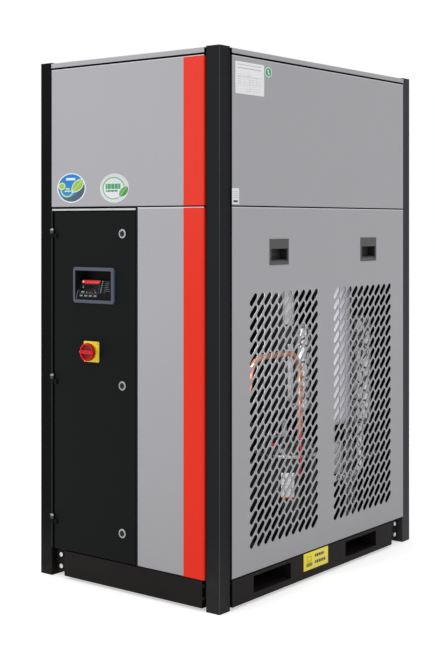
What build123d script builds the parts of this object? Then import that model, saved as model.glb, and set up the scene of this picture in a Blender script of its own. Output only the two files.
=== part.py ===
from build123d import *
import os
from math import atan2, cos, degrees, pi, radians, sin, sqrt

# Refrigerated compressed-air dryer in a floor-standing cabinet.
# Millimetres, +Z up, origin on the floor under the middle of the four corner posts.
# The front with the electrical door faces -Y, the right service panel faces +X.

# ---------------------------------------------------------------- driving dimensions
width = 712.0
depth = 1080.0
height = 1600.0

# corner posts, square tube
post = 50.0
post_wall = 3.0
post_corner = 3.0

# sheet-metal panels, folded trays
sheet = 2.0
panel_proud = 5.0
panel_depth = 28.0
panel_gap = 2.0
seam_gap = 2.5
bend_radius = 3.5
seam_z = 1147.5

# top cover
cover_drop = 3.0
cover_skirt = 15.0
cover_gap = 5.0
cover_notch_gap = 2.0

# inner rails
top_rail_height = 28.0
mid_rail_height = 44.0
rail_wall = 2.0
mullion_width = 30.0
mullion_start = 50.0

# base beams, folded channels, with a recessed tie that is bolted to the posts
beam_clearance = 9.0
beam_height = 77.0
beam_sheet = 3.0
beam_flange = 60.0
front_setback_left = 59.5
front_setback_right = 9.0
side_setback_front = 3.0
side_setback_rear = 82.0
tie_recess = 25.0
tie_sheet = 5.0
tie_end_gap = 2.0
bracket_leg = 42.0
bracket_sheet = 5.0
bracket_margin = 8.0
bolt_radius = 4.0
bolt_clearance = 0.2
bolt_head_across = 13.0
bolt_head_height = 5.5
bolt_inset = 26.0
bolt_pitch = 36.0

# fork pockets through the base
fork_width = 190.0
fork_height = 49.0
fork_wall = 3.0
fork_front = -290.0
fork_rear = 209.0
fork_lift = 18.5

# floor pan and equipment deck
pan_lip = 14.0
pan_side_lip = 34.0
pan_notch_gap = 1.0
deck_sheet = 2.0
deck_inset = 2.0

# perforated fields of the service panels
slot_length = 45.5
slot_width = 17.0
slot_angle = 45.0
slot_pitch_y = 35.63
slot_pitch_z = 35.05
slot_columns = 10
slot_rows = 21
field_front = -225.0
field_rear = 223.0
field_centre_z = 526.6

# recessed pull handles of the service panels
pull_width = 98.0
pull_height = 77.0
pull_flange = 4.0
pull_proud = 1.5
pull_depth = 28.0
pull_wall = 2.0
pull_sill = 12.0
pull_slope = 6.0
pull_mouth = 32.0
pull_front = -257.0
pull_rear = 254.6
pull_z = 1013.6
pull_fit = 0.2

# snap catches that hold the service panels
catch_radius = 7.0
catch_length = 12.0
stud_radius = 3.0
stud_reach = 23.0
stud_fit = 0.1
catch_inset = 30.0
catch_drop = 13.0
catch_rise = 18.0

# electrical door and its surround
door_right = 51.0
lower_panel_gap = 2.0
surround = 5.5
surround_right = 2.0
door_head_drop = 3.0
stop_width = 17.0
door_gap = 2.0
door_gap_top = 3.5
door_gap_left = 7.5
door_depth = 24.0
gasket_width = 8.0
gasket_gap = 0.3

# hinges, axis in front of the surround
knuckle_radius = 4.5
knuckle_height = 28.0
knuckle_gap = 0.3
hinge_pin_radius = 2.5
hinge_pin_fit = 0.05
hinge_pin_head = 4.0
hinge_pin_head_height = 2.0
hinge_stand = 5.0
hinge_outset = 1.5
hinge_edge = 0.5
hinge_leaf = 16.0
hinge_heights = (180.0, 615.0, 1067.0)

# quarter-turn locks
lock_inset = 52.0
lock_flange_radius = 14.0
lock_flange = 2.5
lock_barrel_radius = 11.0
lock_barrel = 33.0
lock_hole_fit = 0.2
lock_core_radius = 9.0
lock_core_fit = 0.05
lock_stem_radius = 6.5
lock_shoulder = 9.0
lock_nut_across = 27.0
lock_nut_height = 5.0
lock_key_radius = 4.6
lock_key_depth = 6.0
cam_reach = 47.0
cam_width = 16.0
cam_sheet = 3.0
cam_gap = 0.5
lock_heights = (176.0, 615.0, 1067.5)

# controller in its hooded bezel
bezel_x = -119.0
bezel_z = 910.5
bezel_width = 170.0
bezel_height = 110.0
bezel_border = 11.0
bezel_corner = 10.0
bezel_inner_corner = 5.0
bezel_round = 4.4
bezel_proud = 8.0
bezel_recess = 45.0
bezel_wall = 2.0
bezel_fit = 0.2
console_height = 60.0
console_front = 3.0
console_back = 22.0
console_fit = 0.2
key_width = 12.0
key_height = 5.0
key_thickness = 3.0
key_proud = 1.0
key_fit = 0.15
key_well = 4.0
key_pitch = 19.4
key_rise = 12.0
key_shift = -25.2
key_count = 4

# main switch
switch_x = -130.5
switch_z = 709.0
switch_plate_size = 62.5
switch_plate_corner = 4.0
switch_plate_sheet = 2.5
switch_boss_radius = 27.0
switch_boss_height = 6.5
switch_boss_chamfer = 1.5
switch_hole_radius = 8.0
knob_radius = 27.5
knob_ring = 5.0
knob_rim = 9.0
knob_height = 18.1
knob_floor = 11.5
knob_neck_radius = 20.0
knob_gap = 0.4
knob_bar_width = 12.5
knob_bar_height = 17.1
knob_scallops = 12
knob_scallop_radius = 3.2
shaft_radius = 4.0
shaft_fit = 0.08
shaft_length = 46.5
switch_body_width = 50.0
switch_body_height = 62.0
switch_body_depth = 46.0
tab_length = 16.0
tab_width = 9.0
tab_sheet = 3.0
tab_fit = 0.15
tab_proud = 2.5

# electrical enclosure behind the door
enclosure_depth = 185.0
enclosure_sheet = 2.0
enclosure_gap = 2.0
plate_margin = 30.0
plate_standoff = 14.0
plate_sheet = 2.0
standoff_radius = 6.0
contactor_width = 45.0
contactor_height = 85.0
contactor_depth = 90.0
contactor_pitch = 56.0
breaker_depth = 72.0
terminal_depth = 48.0

# compressor
compressor_x = 210.0
compressor_y = 0.0
compressor_radius = 95.0
compressor_height = 298.0
compressor_dome = 32.0
compressor_rim = 6.0
compressor_rim_height = 9.0
compressor_plate = 210.0
compressor_plate_sheet = 5.0
mount_radius = 14.0
mount_height = 11.0
mount_inset = 20.0
terminal_box_width = 80.0
terminal_box_height = 90.0
terminal_box_depth = 45.0
terminal_box_z = 230.0

# condenser and its fans, behind the left service panel
coil_thickness = 60.0
coil_stand = 8.0
coil_front = -200.0
coil_rear = 470.0
coil_top = 1070.0
coil_bottom = 112.0
coil_plate = 2.0
header_radius = 11.0
header_offset = 24.0
header_stub = 14.0
shroud_sheet = 3.0
shroud_collar = 30.0
fan_radius = 165.0
fan_tip_gap = 7.0
fan_hub_radius = 45.0
fan_hub_length = 36.0
fan_blades = 5
fan_chord = 78.0
fan_pitch = 28.0
fan_blade_thickness = 2.5
fan_y = 135.0
fan_heights = (350.0, 830.0)
fan_gap = 10.0
fan_shaft_radius = 5.0
fan_shaft_fit = 0.1
spider_width = 12.0
spider_thickness = 6.0
spider_gap = 4.0
spider_reach = 14.0
motor_radius = 55.0
motor_length = 76.0

# liquid receiver and filter drier
receiver_x = -90.0
receiver_y = -205.0
receiver_radius = 60.0
receiver_height = 312.0
receiver_dome = 24.0
drier_radius = 26.0
drier_bottom = 640.0
drier_length = 140.0

# suction accumulator on its stand
accumulator_x = 261.0
accumulator_y = 364.0
accumulator_radius = 38.0
accumulator_bottom = 420.0
accumulator_height = 364.0
accumulator_dome = 18.0
stand_width = 60.0
stand_sheet = 3.0
stand_gap = 0.3
stand_band = 3.0
stand_band_height = 20.0
stand_bands = (480.0, 700.0)

# compressed-air filters
filter_y = 232.0
pre_filter_x = 235.0
after_filter_x = 40.0
head_size = 150.0
head_height = 110.0
head_corner = 12.0
bowl_radius = 60.0
bowl_bottom = 430.0
bowl_dome = 30.0
bowl_hole_gap = 8.0
drain_radius = 36.0
drain_height = 100.0
drain_drop = 63.0
drain_stem_radius = 9.0
drain_boss = 14.0

# moisture separator
separator_x = 140.0
separator_y = 184.0
separator_radius = 36.0
separator_bottom = 470.0
separator_height = 290.0
separator_dome = 22.0
separator_pipe_radius = 22.0
separator_pipe_bend = 38.0
separator_inlet = 50.0
separator_riser = 70.0
separator_pipe_run = 80.0
separator_pipe_turn_z = 885.0

# heat exchanger on the equipment deck
exchanger_left = -312.0
exchanger_right = -50.0
exchanger_front = -450.0
exchanger_rear = 450.0
exchanger_height = 330.0
exchanger_corner = 12.0
exchanger_foot = 18.0
exchanger_foot_width = 40.0
exchanger_foot_inset = 130.0

# air pipes
air_pipe_radius = 38.05
air_pipe_wall = 3.6
air_pipe_reach = 38.0
air_stub_gap = 2.0
air_link_radius = 36.0
air_pipe_bend = 60.0
air_pipe_front = 90.0
air_hole_gap = 4.0

# refrigerant pipes
discharge_radius = 9.0
discharge_bend = 68.0
discharge_x = 245.0
discharge_top = 686.0
discharge_front = -248.0
discharge_low = 545.0
discharge_port_y = 25.0
suction_radius = 11.0
suction_bend = 34.0
suction_low = 250.0
suction_high = 1080.0
suction_exchanger_x = -150.0
suction_port_reach = 36.0
liquid_radius = 6.0
liquid_inlet_z = 180.0
port_collar = 2.0
port_length = 8.0
riser_hole_gap = 5.0

# condensate outlet with its ball valve, and the cable gland, on the rear lower panel
valve_z = 290.0
valve_pipe_radius = 10.5
valve_pipe_bore = 7.0
valve_pipe_gap = 0.5
valve_gap = 4.0
valve_length = 34.0
valve_size = 30.0
valve_socket = 12.0
valve_washer = 16.0
stem_radius = 4.0
stem_fit = 0.08
stem_height = 18.0
stem_depth = 8.0
lever_length = 92.0
lever_width = 16.0
lever_sheet = 3.0
gland_x = -200.0
gland_z = 300.0
gland_radius = 16.0
gland_thread_radius = 12.0
gland_bore = 8.0
gland_length = 26.0
gland_nut_height = 6.0
gland_nut_across = 28.0
gland_fit = 0.3

# ---------------------------------------------------------------- derived places
half_width = width / 2
half_depth = depth / 2
face_x = half_width + panel_proud
face_y = half_depth + panel_proud
frame_x = face_x - panel_depth
frame_y = face_y - panel_depth
inner_x = half_width - post
inner_y = half_depth - post
panel_half_x = inner_x - panel_gap
panel_half_y = inner_y - panel_gap

beam_top = beam_clearance + beam_height
panel_bottom = beam_top + seam_gap
seam_low = seam_z - seam_gap / 2
seam_high = seam_z + seam_gap / 2
cover_top = height - cover_drop
cover_under = cover_top - sheet
cover_edge = cover_top - cover_skirt
panel_top = cover_edge - cover_gap
mid_rail_low = seam_z - mid_rail_height / 2
mid_rail_high = seam_z + mid_rail_height / 2
pan_top = beam_top + sheet
deck_top = mid_rail_high + deck_sheet

door_frame_left = -panel_half_x
door_frame_top = seam_low - door_head_drop
opening_left = door_frame_left + surround
opening_right = door_right - surround_right
opening_top = door_frame_top - surround
leaf_left = opening_left + door_gap_left
leaf_right = opening_right - door_gap
leaf_bottom = panel_bottom
leaf_top = opening_top - door_gap_top
lock_x = leaf_right - lock_inset
hinge_x = leaf_left - hinge_outset
hinge_y = -face_y - hinge_stand

coil_left = -frame_x + coil_stand
coil_right = coil_left + coil_thickness
shroud_face = coil_right + shroud_sheet
fan_centre_x = shroud_face + fan_gap + fan_hub_length / 2
spider_x = fan_centre_x + fan_hub_length / 2 + spider_gap
motor_face = spider_x + spider_thickness
header_x = coil_left + coil_thickness / 2
header_y = coil_front - header_offset
compressor_base = pan_top + mount_height
compressor_top = compressor_base + compressor_plate_sheet + compressor_height
exchanger_bottom = deck_top + exchanger_foot
air_axis_z = deck_top + head_height / 2
console_tilt = degrees(atan2(console_back - console_front, console_height))


# ---------------------------------------------------------------- helpers
def block(x0, x1, y0, y1, z0, z1):
    """Box between two opposite corners."""
    return Pos((x0 + x1) / 2, (y0 + y1) / 2, (z0 + z1) / 2) * Box(x1 - x0, y1 - y0, z1 - z0)


def rod(start, end, radius):
    """Round bar from one point to another."""
    run = Vector(*end) - Vector(*start)
    base = Plane(origin=start, z_dir=run)
    return base * Cylinder(radius, run.length, align=(Align.CENTER, Align.CENTER, Align.MIN))


def pipe(points, radius, bend):
    """Round bar along a polyline with rounded corners."""
    path = FilletPolyline(*points, radius=bend)
    section = Plane(origin=path @ 0, z_dir=path % 0) * Circle(radius)
    return sweep(section, path=path)


def hexagon(across, thickness):
    """Hexagonal prism on the XY plane, from z = 0 up."""
    return extrude(RegularPolygon(across / 2, 6, major_radius=False), thickness)


def vessel(x, y, z0, z1, radius, dome):
    """Upright closed vessel with rounded ends."""
    body = rod((x, y, z0), (x, y, z1), radius)
    return fillet(body.edges().filter_by(GeomType.CIRCLE), dome)


def tray(u0, u1, z0, z1, tray_depth):
    """Folded panel whose face lies on y = 0 and looks along -Y; u runs along X."""
    skin = block(u0, u1, 0, tray_depth, z0, z1)
    skin = fillet(skin.faces().sort_by(Axis.Y)[0].edges(), bend_radius)
    hollow = block(u0 + sheet, u1 - sheet, sheet, tray_depth + sheet, z0 + sheet, z1 - sheet)
    return skin - hollow


def at_front(shape):
    return Pos(0, -face_y, 0) * shape


def at_rear(shape):
    return Pos(0, face_y, 0) * Rot(0, 0, 180) * shape


def at_right(shape):
    return Pos(face_x, 0, 0) * Rot(0, 0, 90) * shape


def at_left(shape):
    return Pos(-face_x, 0, 0) * Rot(0, 0, -90) * shape


def four_corners(x, y):
    return [(sx * x, sy * y) for sx in (-1, 1) for sy in (-1, 1)]


def save(name, shape):
    """Write one node; a list becomes a group of separate solids."""
    if isinstance(shape, list):
        shape = Compound([solid for item in shape for solid in item.solids()])
    export_step(shape, f"parts/{name}.step")


# ---------------------------------------------------------------- frame
def corner_posts():
    """Four square tubes, closed at the top, open at the floor."""
    tube = Box(post, post, height, align=(Align.CENTER, Align.CENTER, Align.MIN))
    tube = fillet(tube.edges().filter_by(Axis.Z), post_corner)
    bore = post - 2 * post_wall
    tube -= Box(bore, bore, height - post_wall, align=(Align.CENTER, Align.CENTER, Align.MIN))
    return [Pos(x, y, 0) * tube for x, y in four_corners(half_width - post / 2, half_depth - post / 2)]


def bolt_places(span):
    """Bolt centres (u, z) at both ends of a base beam that spans between two posts."""
    middle = beam_clearance + beam_height / 2
    return [
        (side * (span - bolt_inset), middle + step * bolt_pitch / 2)
        for side in (-1, 1)
        for step in (-1, 1)
    ]


def base_beam(u0, u1, span, pockets):
    """Channel with a face on y = 0, and the recessed tie between the posts."""
    beam = block(u0, u1, 0, beam_sheet, beam_clearance, beam_top)
    beam += block(u0, u1, 0, beam_flange, beam_clearance, beam_clearance + beam_sheet)
    beam += block(u0, u1, 0, beam_flange, beam_top - beam_sheet, beam_top)
    reach = span - tie_end_gap
    tie_back = tie_recess + tie_sheet
    beam += block(-reach, reach, tie_recess, tie_back, beam_clearance + beam_sheet, beam_top - beam_sheet)
    for u, z in bolt_places(span):
        beam -= rod((u, tie_recess - 1, z), (u, tie_back + 1, z), bolt_radius + bolt_clearance)
    for centre in pockets:
        beam -= fork_tube(centre, fork_wall, -1, tie_back + 1)
    return beam


def fork_tube(centre, wall, y0, y1):
    """Rectangular bar of a fork pocket's section, grown by a wall."""
    half = fork_width / 2 + wall
    low = beam_clearance + fork_lift - wall
    return block(centre - half, centre + half, y0, y1, low, low + fork_height + 2 * wall)


def fork_channels():
    """Two rectangular tubes that cross the base from side to side."""
    channels = []
    for centre in (fork_front, fork_rear):
        tube = fork_tube(centre, fork_wall, -face_x, face_x)
        tube -= fork_tube(centre, 0, -face_x - 1, face_x + 1)
        channels.append(Rot(0, 0, 90) * tube)
    return channels


def beam_brackets(span):
    """Angle brackets between a beam's tie and the posts at its two ends."""
    brackets = []
    tie_back = tie_recess + tie_sheet
    low = beam_clearance + beam_sheet + bracket_margin
    high = beam_top - beam_sheet - bracket_margin
    for side in (-1, 1):
        ends = sorted((side * span, side * (span - bracket_sheet)))
        legs = sorted((side * span, side * (span - bracket_leg)))
        bracket = block(ends[0], ends[1], tie_back, post + panel_proud, low, high)
        bracket += block(legs[0], legs[1], tie_back, tie_back + bracket_sheet, low, high)
        for u, z in bolt_places(span):
            if u * side > 0:
                bracket -= rod((u, 0, z), (u, post, z), bolt_radius + bolt_clearance)
        brackets.append(bracket)
    return brackets


def beam_bolts(span):
    """Hexagon-head bolts through the ends of a beam's tie."""
    bolts = []
    for u, z in bolt_places(span):
        bolt = rod((u, tie_recess, z), (u, tie_recess + tie_sheet + bracket_sheet + 3, z), bolt_radius)
        head = Rot(90, 0, 0) * hexagon(bolt_head_across, bolt_head_height)
        bolts.append(bolt + Pos(u, tie_recess, z) * head)
    return bolts


def floor_pan():
    """Floor sheet with folded lips, notched round the posts."""
    pan = block(-frame_x, frame_x, -frame_y, frame_y, beam_top, pan_top)
    for side in (-1, 1):
        y = sorted((side * frame_y, side * (frame_y - sheet)))
        x = sorted((side * frame_x, side * (frame_x - sheet)))
        pan += block(-frame_x, frame_x, y[0], y[1], beam_top, beam_top + pan_lip)
        pan += block(x[0], x[1], -inner_y, inner_y, beam_top, beam_top + pan_side_lip)
    return pan - corner_notches(inner_x - pan_notch_gap, inner_y - pan_notch_gap)


def corner_notches(x, y):
    """Blocks that clear everything outside x and y at the four corners."""
    size_x = width - x
    size_y = depth - y
    return [
        Pos(cx, cy, height / 2) * Box(size_x, size_y, 2 * height)
        for cx, cy in four_corners(x + size_x / 2, y + size_y / 2)
    ]


def rail_ring(low, high):
    """Four square rails between the posts, flush with the posts' inner faces."""
    rails = []
    for side in (-1, 1):
        y = sorted((side * frame_y, side * inner_y))
        x = sorted((side * frame_x, side * inner_x))
        rail = block(-inner_x, inner_x, y[0], y[1], low, high)
        bore = block(-width, width, y[0] + rail_wall, y[1] - rail_wall, low + rail_wall, high - rail_wall)
        rails.append(rail - bore)
        rail = block(x[0], x[1], -inner_y, inner_y, low, high)
        bore = block(x[0] + rail_wall, x[1] - rail_wall, -depth, depth, low + rail_wall, high - rail_wall)
        rails.append(rail - bore)
    return rails


def mullion():
    """Upright between the door surround and the lower front panel."""
    end = mullion_start + mullion_width
    low = beam_top + pan_lip
    upright = block(mullion_start, end, -frame_y, -inner_y, low, mid_rail_low)
    bore = block(
        mullion_start + rail_wall, end - rail_wall,
        -frame_y + rail_wall, -inner_y - rail_wall,
        low - 1, mid_rail_low + 1,
    )
    return upright - bore


def equipment_deck():
    """Sheet on the middle rails, open under the filters and round the risers."""
    x = frame_x - deck_inset
    y = frame_y - deck_inset
    deck = block(-x, x, -y, y, mid_rail_high, deck_top)
    deck -= corner_notches(inner_x - deck_inset, inner_y - deck_inset)
    for cx in (pre_filter_x, after_filter_x):
        deck -= rod((cx, filter_y, 0), (cx, filter_y, height), bowl_radius + bowl_hole_gap)
    risers = (
        (suction_exchanger_x, accumulator_y, suction_radius),
        (receiver_x, receiver_y, liquid_radius),
    )
    for cx, cy, radius in risers:
        deck -= rod((cx, cy, 0), (cx, cy, height), radius + riser_hole_gap)
    return deck


def top_cover():
    """Shallow lid between the post tops."""
    lid = block(-face_x, face_x, -face_y, face_y, cover_edge, cover_top)
    lid -= corner_notches(inner_x - cover_notch_gap, inner_y - cover_notch_gap)
    long_edges = lid.faces().sort_by(Axis.Z)[-1].edges().filter_by(lambda edge: edge.length > 2 * post)
    lid = fillet(long_edges, bend_radius)
    hollow = block(
        -face_x + sheet, face_x - sheet,
        -face_y + sheet, face_y - sheet,
        cover_edge - 1, cover_under,
    )
    return lid - hollow


# ---------------------------------------------------------------- panels
def slot_field(centre):
    """One perforated field of slanted slots, as a cutter through the panel face."""
    places = GridLocations(slot_pitch_y, slot_pitch_z, slot_columns, slot_rows)
    slot = Rot(0, 0, slot_angle) * SlotOverall(slot_length, slot_width)
    field = Sketch() + [place * slot for place in places]
    return extrude(Plane.XZ * Pos(centre, field_centre_z, 0) * field, sheet * 2, both=True)


def service_panel(side):
    """Removable perforated panel; side is 1 where u runs to the rear, -1 where it runs to the front."""
    panel = tray(-panel_half_y, panel_half_y, panel_bottom, seam_low, panel_depth)
    for centre in (field_front, field_rear):
        panel -= slot_field(side * centre)
    for centre in (pull_front, pull_rear):
        half_u = pull_width / 2 - pull_flange + pull_fit
        half_z = pull_height / 2 - pull_flange + pull_fit
        u = side * centre
        panel -= block(u - half_u, u + half_u, -1, sheet + 1, pull_z - half_z, pull_z + half_z)
    for u, z in catch_places():
        panel += rod((u, sheet, z), (u, sheet + stud_reach, z), stud_radius)
    return panel


def catch_places():
    """Centres (u, z) of the four catches of a service panel."""
    u = panel_half_y - catch_inset
    return [
        (side * u, z)
        for side in (-1, 1)
        for z in (panel_bottom + catch_rise, seam_low - catch_drop)
    ]


def panel_catches():
    """Snap sockets on the frame for the studs of one service panel."""
    catches = []
    for u, z in catch_places():
        socket = rod((u, panel_depth - catch_length, z), (u, panel_depth, z), catch_radius)
        socket -= rod((u, 0, z), (u, panel_depth - 1, z), stud_radius + stud_fit)
        catches.append(socket)
    return catches


def pull_pockets(side):
    """Recessed handles: a lip over the upper part, a finger space behind it, a sloped sill below."""
    pockets = []
    half_u = pull_width / 2
    half_z = pull_height / 2
    body_u = half_u - pull_flange
    body_z = half_z - pull_flange
    for centre in (pull_front, pull_rear):
        u = side * centre
        pocket = block(u - half_u, u + half_u, -pull_proud, 0, pull_z - half_z, pull_z + half_z)
        pocket += block(u - body_u, u + body_u, 0, pull_depth, pull_z - body_z, pull_z + body_z)
        side_walls = (u - body_u + pull_wall, u + body_u - pull_wall)
        mouth_low = pull_z - body_z + pull_sill
        pocket -= block(
            *side_walls,
            pull_wall - pull_proud, pull_depth - pull_wall,
            mouth_low, pull_z + body_z - pull_wall,
        )
        pocket -= block(*side_walls, -pull_proud, pull_wall, mouth_low, mouth_low + pull_mouth)
        slope = Polyline(
            (-pull_proud, mouth_low - pull_slope), (-pull_proud, mouth_low),
            (pull_slope, mouth_low), close=True,
        )
        pocket -= Pos(u, 0, 0) * extrude(make_face(Plane.YZ * slope), body_u - pull_wall, both=True)
        pockets.append(pocket)
    return pockets


def rear_upper_panel():
    """Upper rear panel with the two air connections."""
    panel = tray(-panel_half_x, panel_half_x, seam_high, panel_top, panel_depth)
    for x in (pre_filter_x, after_filter_x):
        panel -= rod((-x, -1, air_axis_z), (-x, sheet + 1, air_axis_z), air_pipe_radius + air_hole_gap)
    return panel


def rear_lower_panel():
    """Lower rear panel with the condensate outlet and the cable gland."""
    panel = tray(-panel_half_x, panel_half_x, panel_bottom, seam_low, panel_depth)
    hole = valve_pipe_radius + valve_pipe_gap
    panel -= rod((-pre_filter_x, -1, valve_z), (-pre_filter_x, sheet + 1, valve_z), hole)
    hole = gland_thread_radius + gland_fit
    panel -= rod((-gland_x, -1, gland_z), (-gland_x, sheet + 1, gland_z), hole)
    return panel


# ---------------------------------------------------------------- door
def door_frame():
    """Surround of the door on three sides, with the stop that its seal closes on."""
    ring = block(door_frame_left, door_right, 0, panel_depth, panel_bottom, door_frame_top)
    ring -= block(opening_left, opening_right, -1, panel_depth - sheet, panel_bottom - 1, opening_top)
    ring -= block(
        opening_left + stop_width, opening_right - stop_width,
        -1, panel_depth + 1,
        panel_bottom + stop_width, opening_top - stop_width,
    )
    return at_front(ring)


def door_gasket():
    """Flat seal on the stop, just behind the folded edge of the leaf."""
    front = door_depth + gasket_gap
    back = panel_depth - sheet
    ring = block(leaf_left, leaf_right, front, back, leaf_bottom, leaf_top)
    ring -= block(
        leaf_left + gasket_width, leaf_right - gasket_width,
        front - 1, back + 1,
        leaf_bottom + gasket_width, leaf_top - gasket_width,
    )
    return at_front(ring)


def door_leaf():
    """Folded door leaf with its cut-outs."""
    leaf = tray(leaf_left, leaf_right, leaf_bottom, leaf_top, door_depth)
    half_u = bezel_width / 2 - bezel_border + bezel_wall + bezel_fit
    half_z = bezel_height / 2 - bezel_border + bezel_wall + bezel_fit
    leaf -= block(
        bezel_x - half_u, bezel_x + half_u,
        -1, sheet + 1,
        bezel_z - half_z, bezel_z + half_z,
    )
    leaf -= rod((switch_x, -1, switch_z), (switch_x, sheet + 1, switch_z), switch_hole_radius)
    for z in lock_heights:
        leaf -= rod((lock_x, -1, z), (lock_x, sheet + 1, z), lock_barrel_radius + lock_hole_fit)
    return at_front(leaf)


def hinge_knuckles(on_door):
    """Upper halves sit on the surround, lower halves on the leaf."""
    knuckles = []
    half = knuckle_height / 2
    for z in hinge_heights:
        low = z - half if on_door else z + knuckle_gap / 2
        high = z - knuckle_gap / 2 if on_door else z + half
        barrel = rod((hinge_x, hinge_y, low), (hinge_x, hinge_y, high), knuckle_radius)
        if on_door:
            arm = block(hinge_x, hinge_x + hinge_leaf, hinge_y, -face_y, low, high)
            arm -= block(hinge_x - 1, leaf_left, hinge_y + knuckle_radius - 1, -face_y + 1, low, high)
        else:
            arm = block(door_frame_left + hinge_edge, hinge_x, hinge_y, -face_y, low, high)
        bore = rod(
            (hinge_x, hinge_y, low - 1),
            (hinge_x, hinge_y, high + 1),
            hinge_pin_radius + hinge_pin_fit,
        )
        knuckles.append(barrel + arm - bore)
    return knuckles


def hinge_pins():
    """Headed pins that drop through the knuckles."""
    pins = []
    half = knuckle_height / 2
    for z in hinge_heights:
        pin = rod((hinge_x, hinge_y, z - half), (hinge_x, hinge_y, z + half), hinge_pin_radius)
        top = z + half
        pin += rod(
            (hinge_x, hinge_y, top),
            (hinge_x, hinge_y, top + hinge_pin_head_height),
            hinge_pin_head,
        )
        pins.append(pin)
    return pins


def lock_bodies():
    """Flanged barrels of the quarter-turn locks, each with its clamping nut."""
    pieces = []
    for z in lock_heights:
        barrel = rod((lock_x, -lock_flange, z), (lock_x, 0, z), lock_flange_radius)
        barrel = fillet(barrel.edges().sort_by(Axis.Y)[0], lock_flange / 2)
        barrel += rod((lock_x, 0, z), (lock_x, lock_barrel, z), lock_barrel_radius)
        barrel -= rod(
            (lock_x, -lock_flange - 1, z),
            (lock_x, lock_shoulder, z),
            lock_core_radius + lock_core_fit,
        )
        barrel -= rod((lock_x, 0, z), (lock_x, lock_barrel + 1, z), lock_stem_radius + lock_core_fit)
        nut = Rot(-90, 0, 0) * hexagon(lock_nut_across, lock_nut_height)
        nut -= Rot(-90, 0, 0) * Cylinder(lock_barrel_radius + lock_core_fit, 4 * lock_nut_height)
        pieces.append(at_front(barrel))
        pieces.append(at_front(Pos(lock_x, sheet, z) * nut))
    return pieces


def lock_core(z):
    """Turning core with its key socket and the cam that hooks behind the stop."""
    front = -lock_flange + 1
    cam_front = lock_barrel + cam_gap
    core = rod((lock_x, front, z), (lock_x, lock_shoulder - lock_core_fit, z), lock_core_radius)
    core += rod((lock_x, 0, z), (lock_x, cam_front + cam_sheet, z), lock_stem_radius)
    socket = Rot(-90, 0, 0) * extrude(RegularPolygon(lock_key_radius, 3), lock_key_depth + 1)
    core -= Pos(lock_x, front - 1, z) * socket
    half = cam_width / 2
    cam = block(lock_x - half, lock_x + half, cam_front, cam_front + cam_sheet, z - half, z + cam_reach)
    return at_front(core + cam)


# ---------------------------------------------------------------- controller
def controller_bezel():
    """Rounded frame with the hooded recess behind it."""
    outer = extrude(RectangleRounded(bezel_width, bezel_height, bezel_corner), bezel_proud)
    outer = fillet(outer.faces().sort_by(Axis.Z)[-1].edges(), bezel_round)
    inner_w = bezel_width - 2 * bezel_border
    inner_h = bezel_height - 2 * bezel_border
    box = extrude(
        RectangleRounded(inner_w + 2 * bezel_wall, inner_h + 2 * bezel_wall, bezel_inner_corner),
        -bezel_recess,
    )
    cavity = Pos(0, 0, bezel_wall - bezel_recess) * extrude(
        RectangleRounded(inner_w, inner_h, bezel_inner_corner), bezel_recess + bezel_proud
    )
    return Pos(bezel_x, -face_y, bezel_z) * Rot(90, 0, 0) * (outer + box - cavity)


def console_frame():
    """Plane on the sloped console face, x to the right, y up the slope, z towards the viewer."""
    front = -face_y - bezel_proud + console_front
    low = bezel_z - bezel_height / 2 + bezel_border
    tilt = radians(console_tilt)
    return Plane(
        origin=(bezel_x, front, low),
        x_dir=(1, 0, 0),
        z_dir=(0, -cos(tilt), sin(tilt)),
    )


def key_places():
    """Centres of the keys on the console face."""
    start = key_shift - key_pitch * (key_count - 1) / 2
    return [(start + index * key_pitch, key_rise) for index in range(key_count)]


def control_panel():
    """Wedge-shaped console that fills the lower part of the recess."""
    front = -face_y - bezel_proud + console_front
    back = -face_y + bezel_recess - bezel_wall
    low = bezel_z - bezel_height / 2 + bezel_border
    slope_top = front + console_back - console_front
    half = bezel_width / 2 - bezel_border - console_fit
    outline = Polyline(
        (front, low), (slope_top, low + console_height),
        (back, low + console_height), (back, low), close=True,
    )
    profile = make_face(Plane.YZ * outline)
    console = Pos(bezel_x, 0, 0) * extrude(profile, half, both=True)
    lower_edges = console.edges().filter_by(Axis.Y).sort_by(Axis.Z)[:2]
    console = chamfer(lower_edges, bezel_inner_corner)
    for x, y in key_places():
        well = Box(key_width + 2 * key_fit, key_height + 2 * key_fit, 2 * key_well)
        console -= console_frame() * (Pos(x, y, 0) * well)
    return console


def key_cap(place):
    """One push key standing in its well."""
    cap = Box(key_width, key_height, key_thickness, align=(Align.CENTER, Align.CENTER, Align.MAX))
    cap = fillet(cap.faces().sort_by(Axis.Z)[-1].edges(), key_proud / 2)
    return console_frame() * (Pos(place[0], place[1], key_proud) * cap)


# ---------------------------------------------------------------- main switch
def switch_plate():
    """Square legend plate with a round boss under the rotary handle."""
    size = switch_plate_size
    boss = extrude(Circle(switch_boss_radius), switch_boss_height)
    boss = chamfer(boss.edges().sort_by(Axis.Z)[-1], switch_boss_chamfer)
    plate = extrude(RectangleRounded(size, size, switch_plate_corner), switch_plate_sheet) + boss
    plate -= Cylinder(switch_hole_radius, 4 * switch_boss_height)
    return Pos(switch_x, -face_y, switch_z) * Rot(90, 0, 0) * plate


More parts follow.
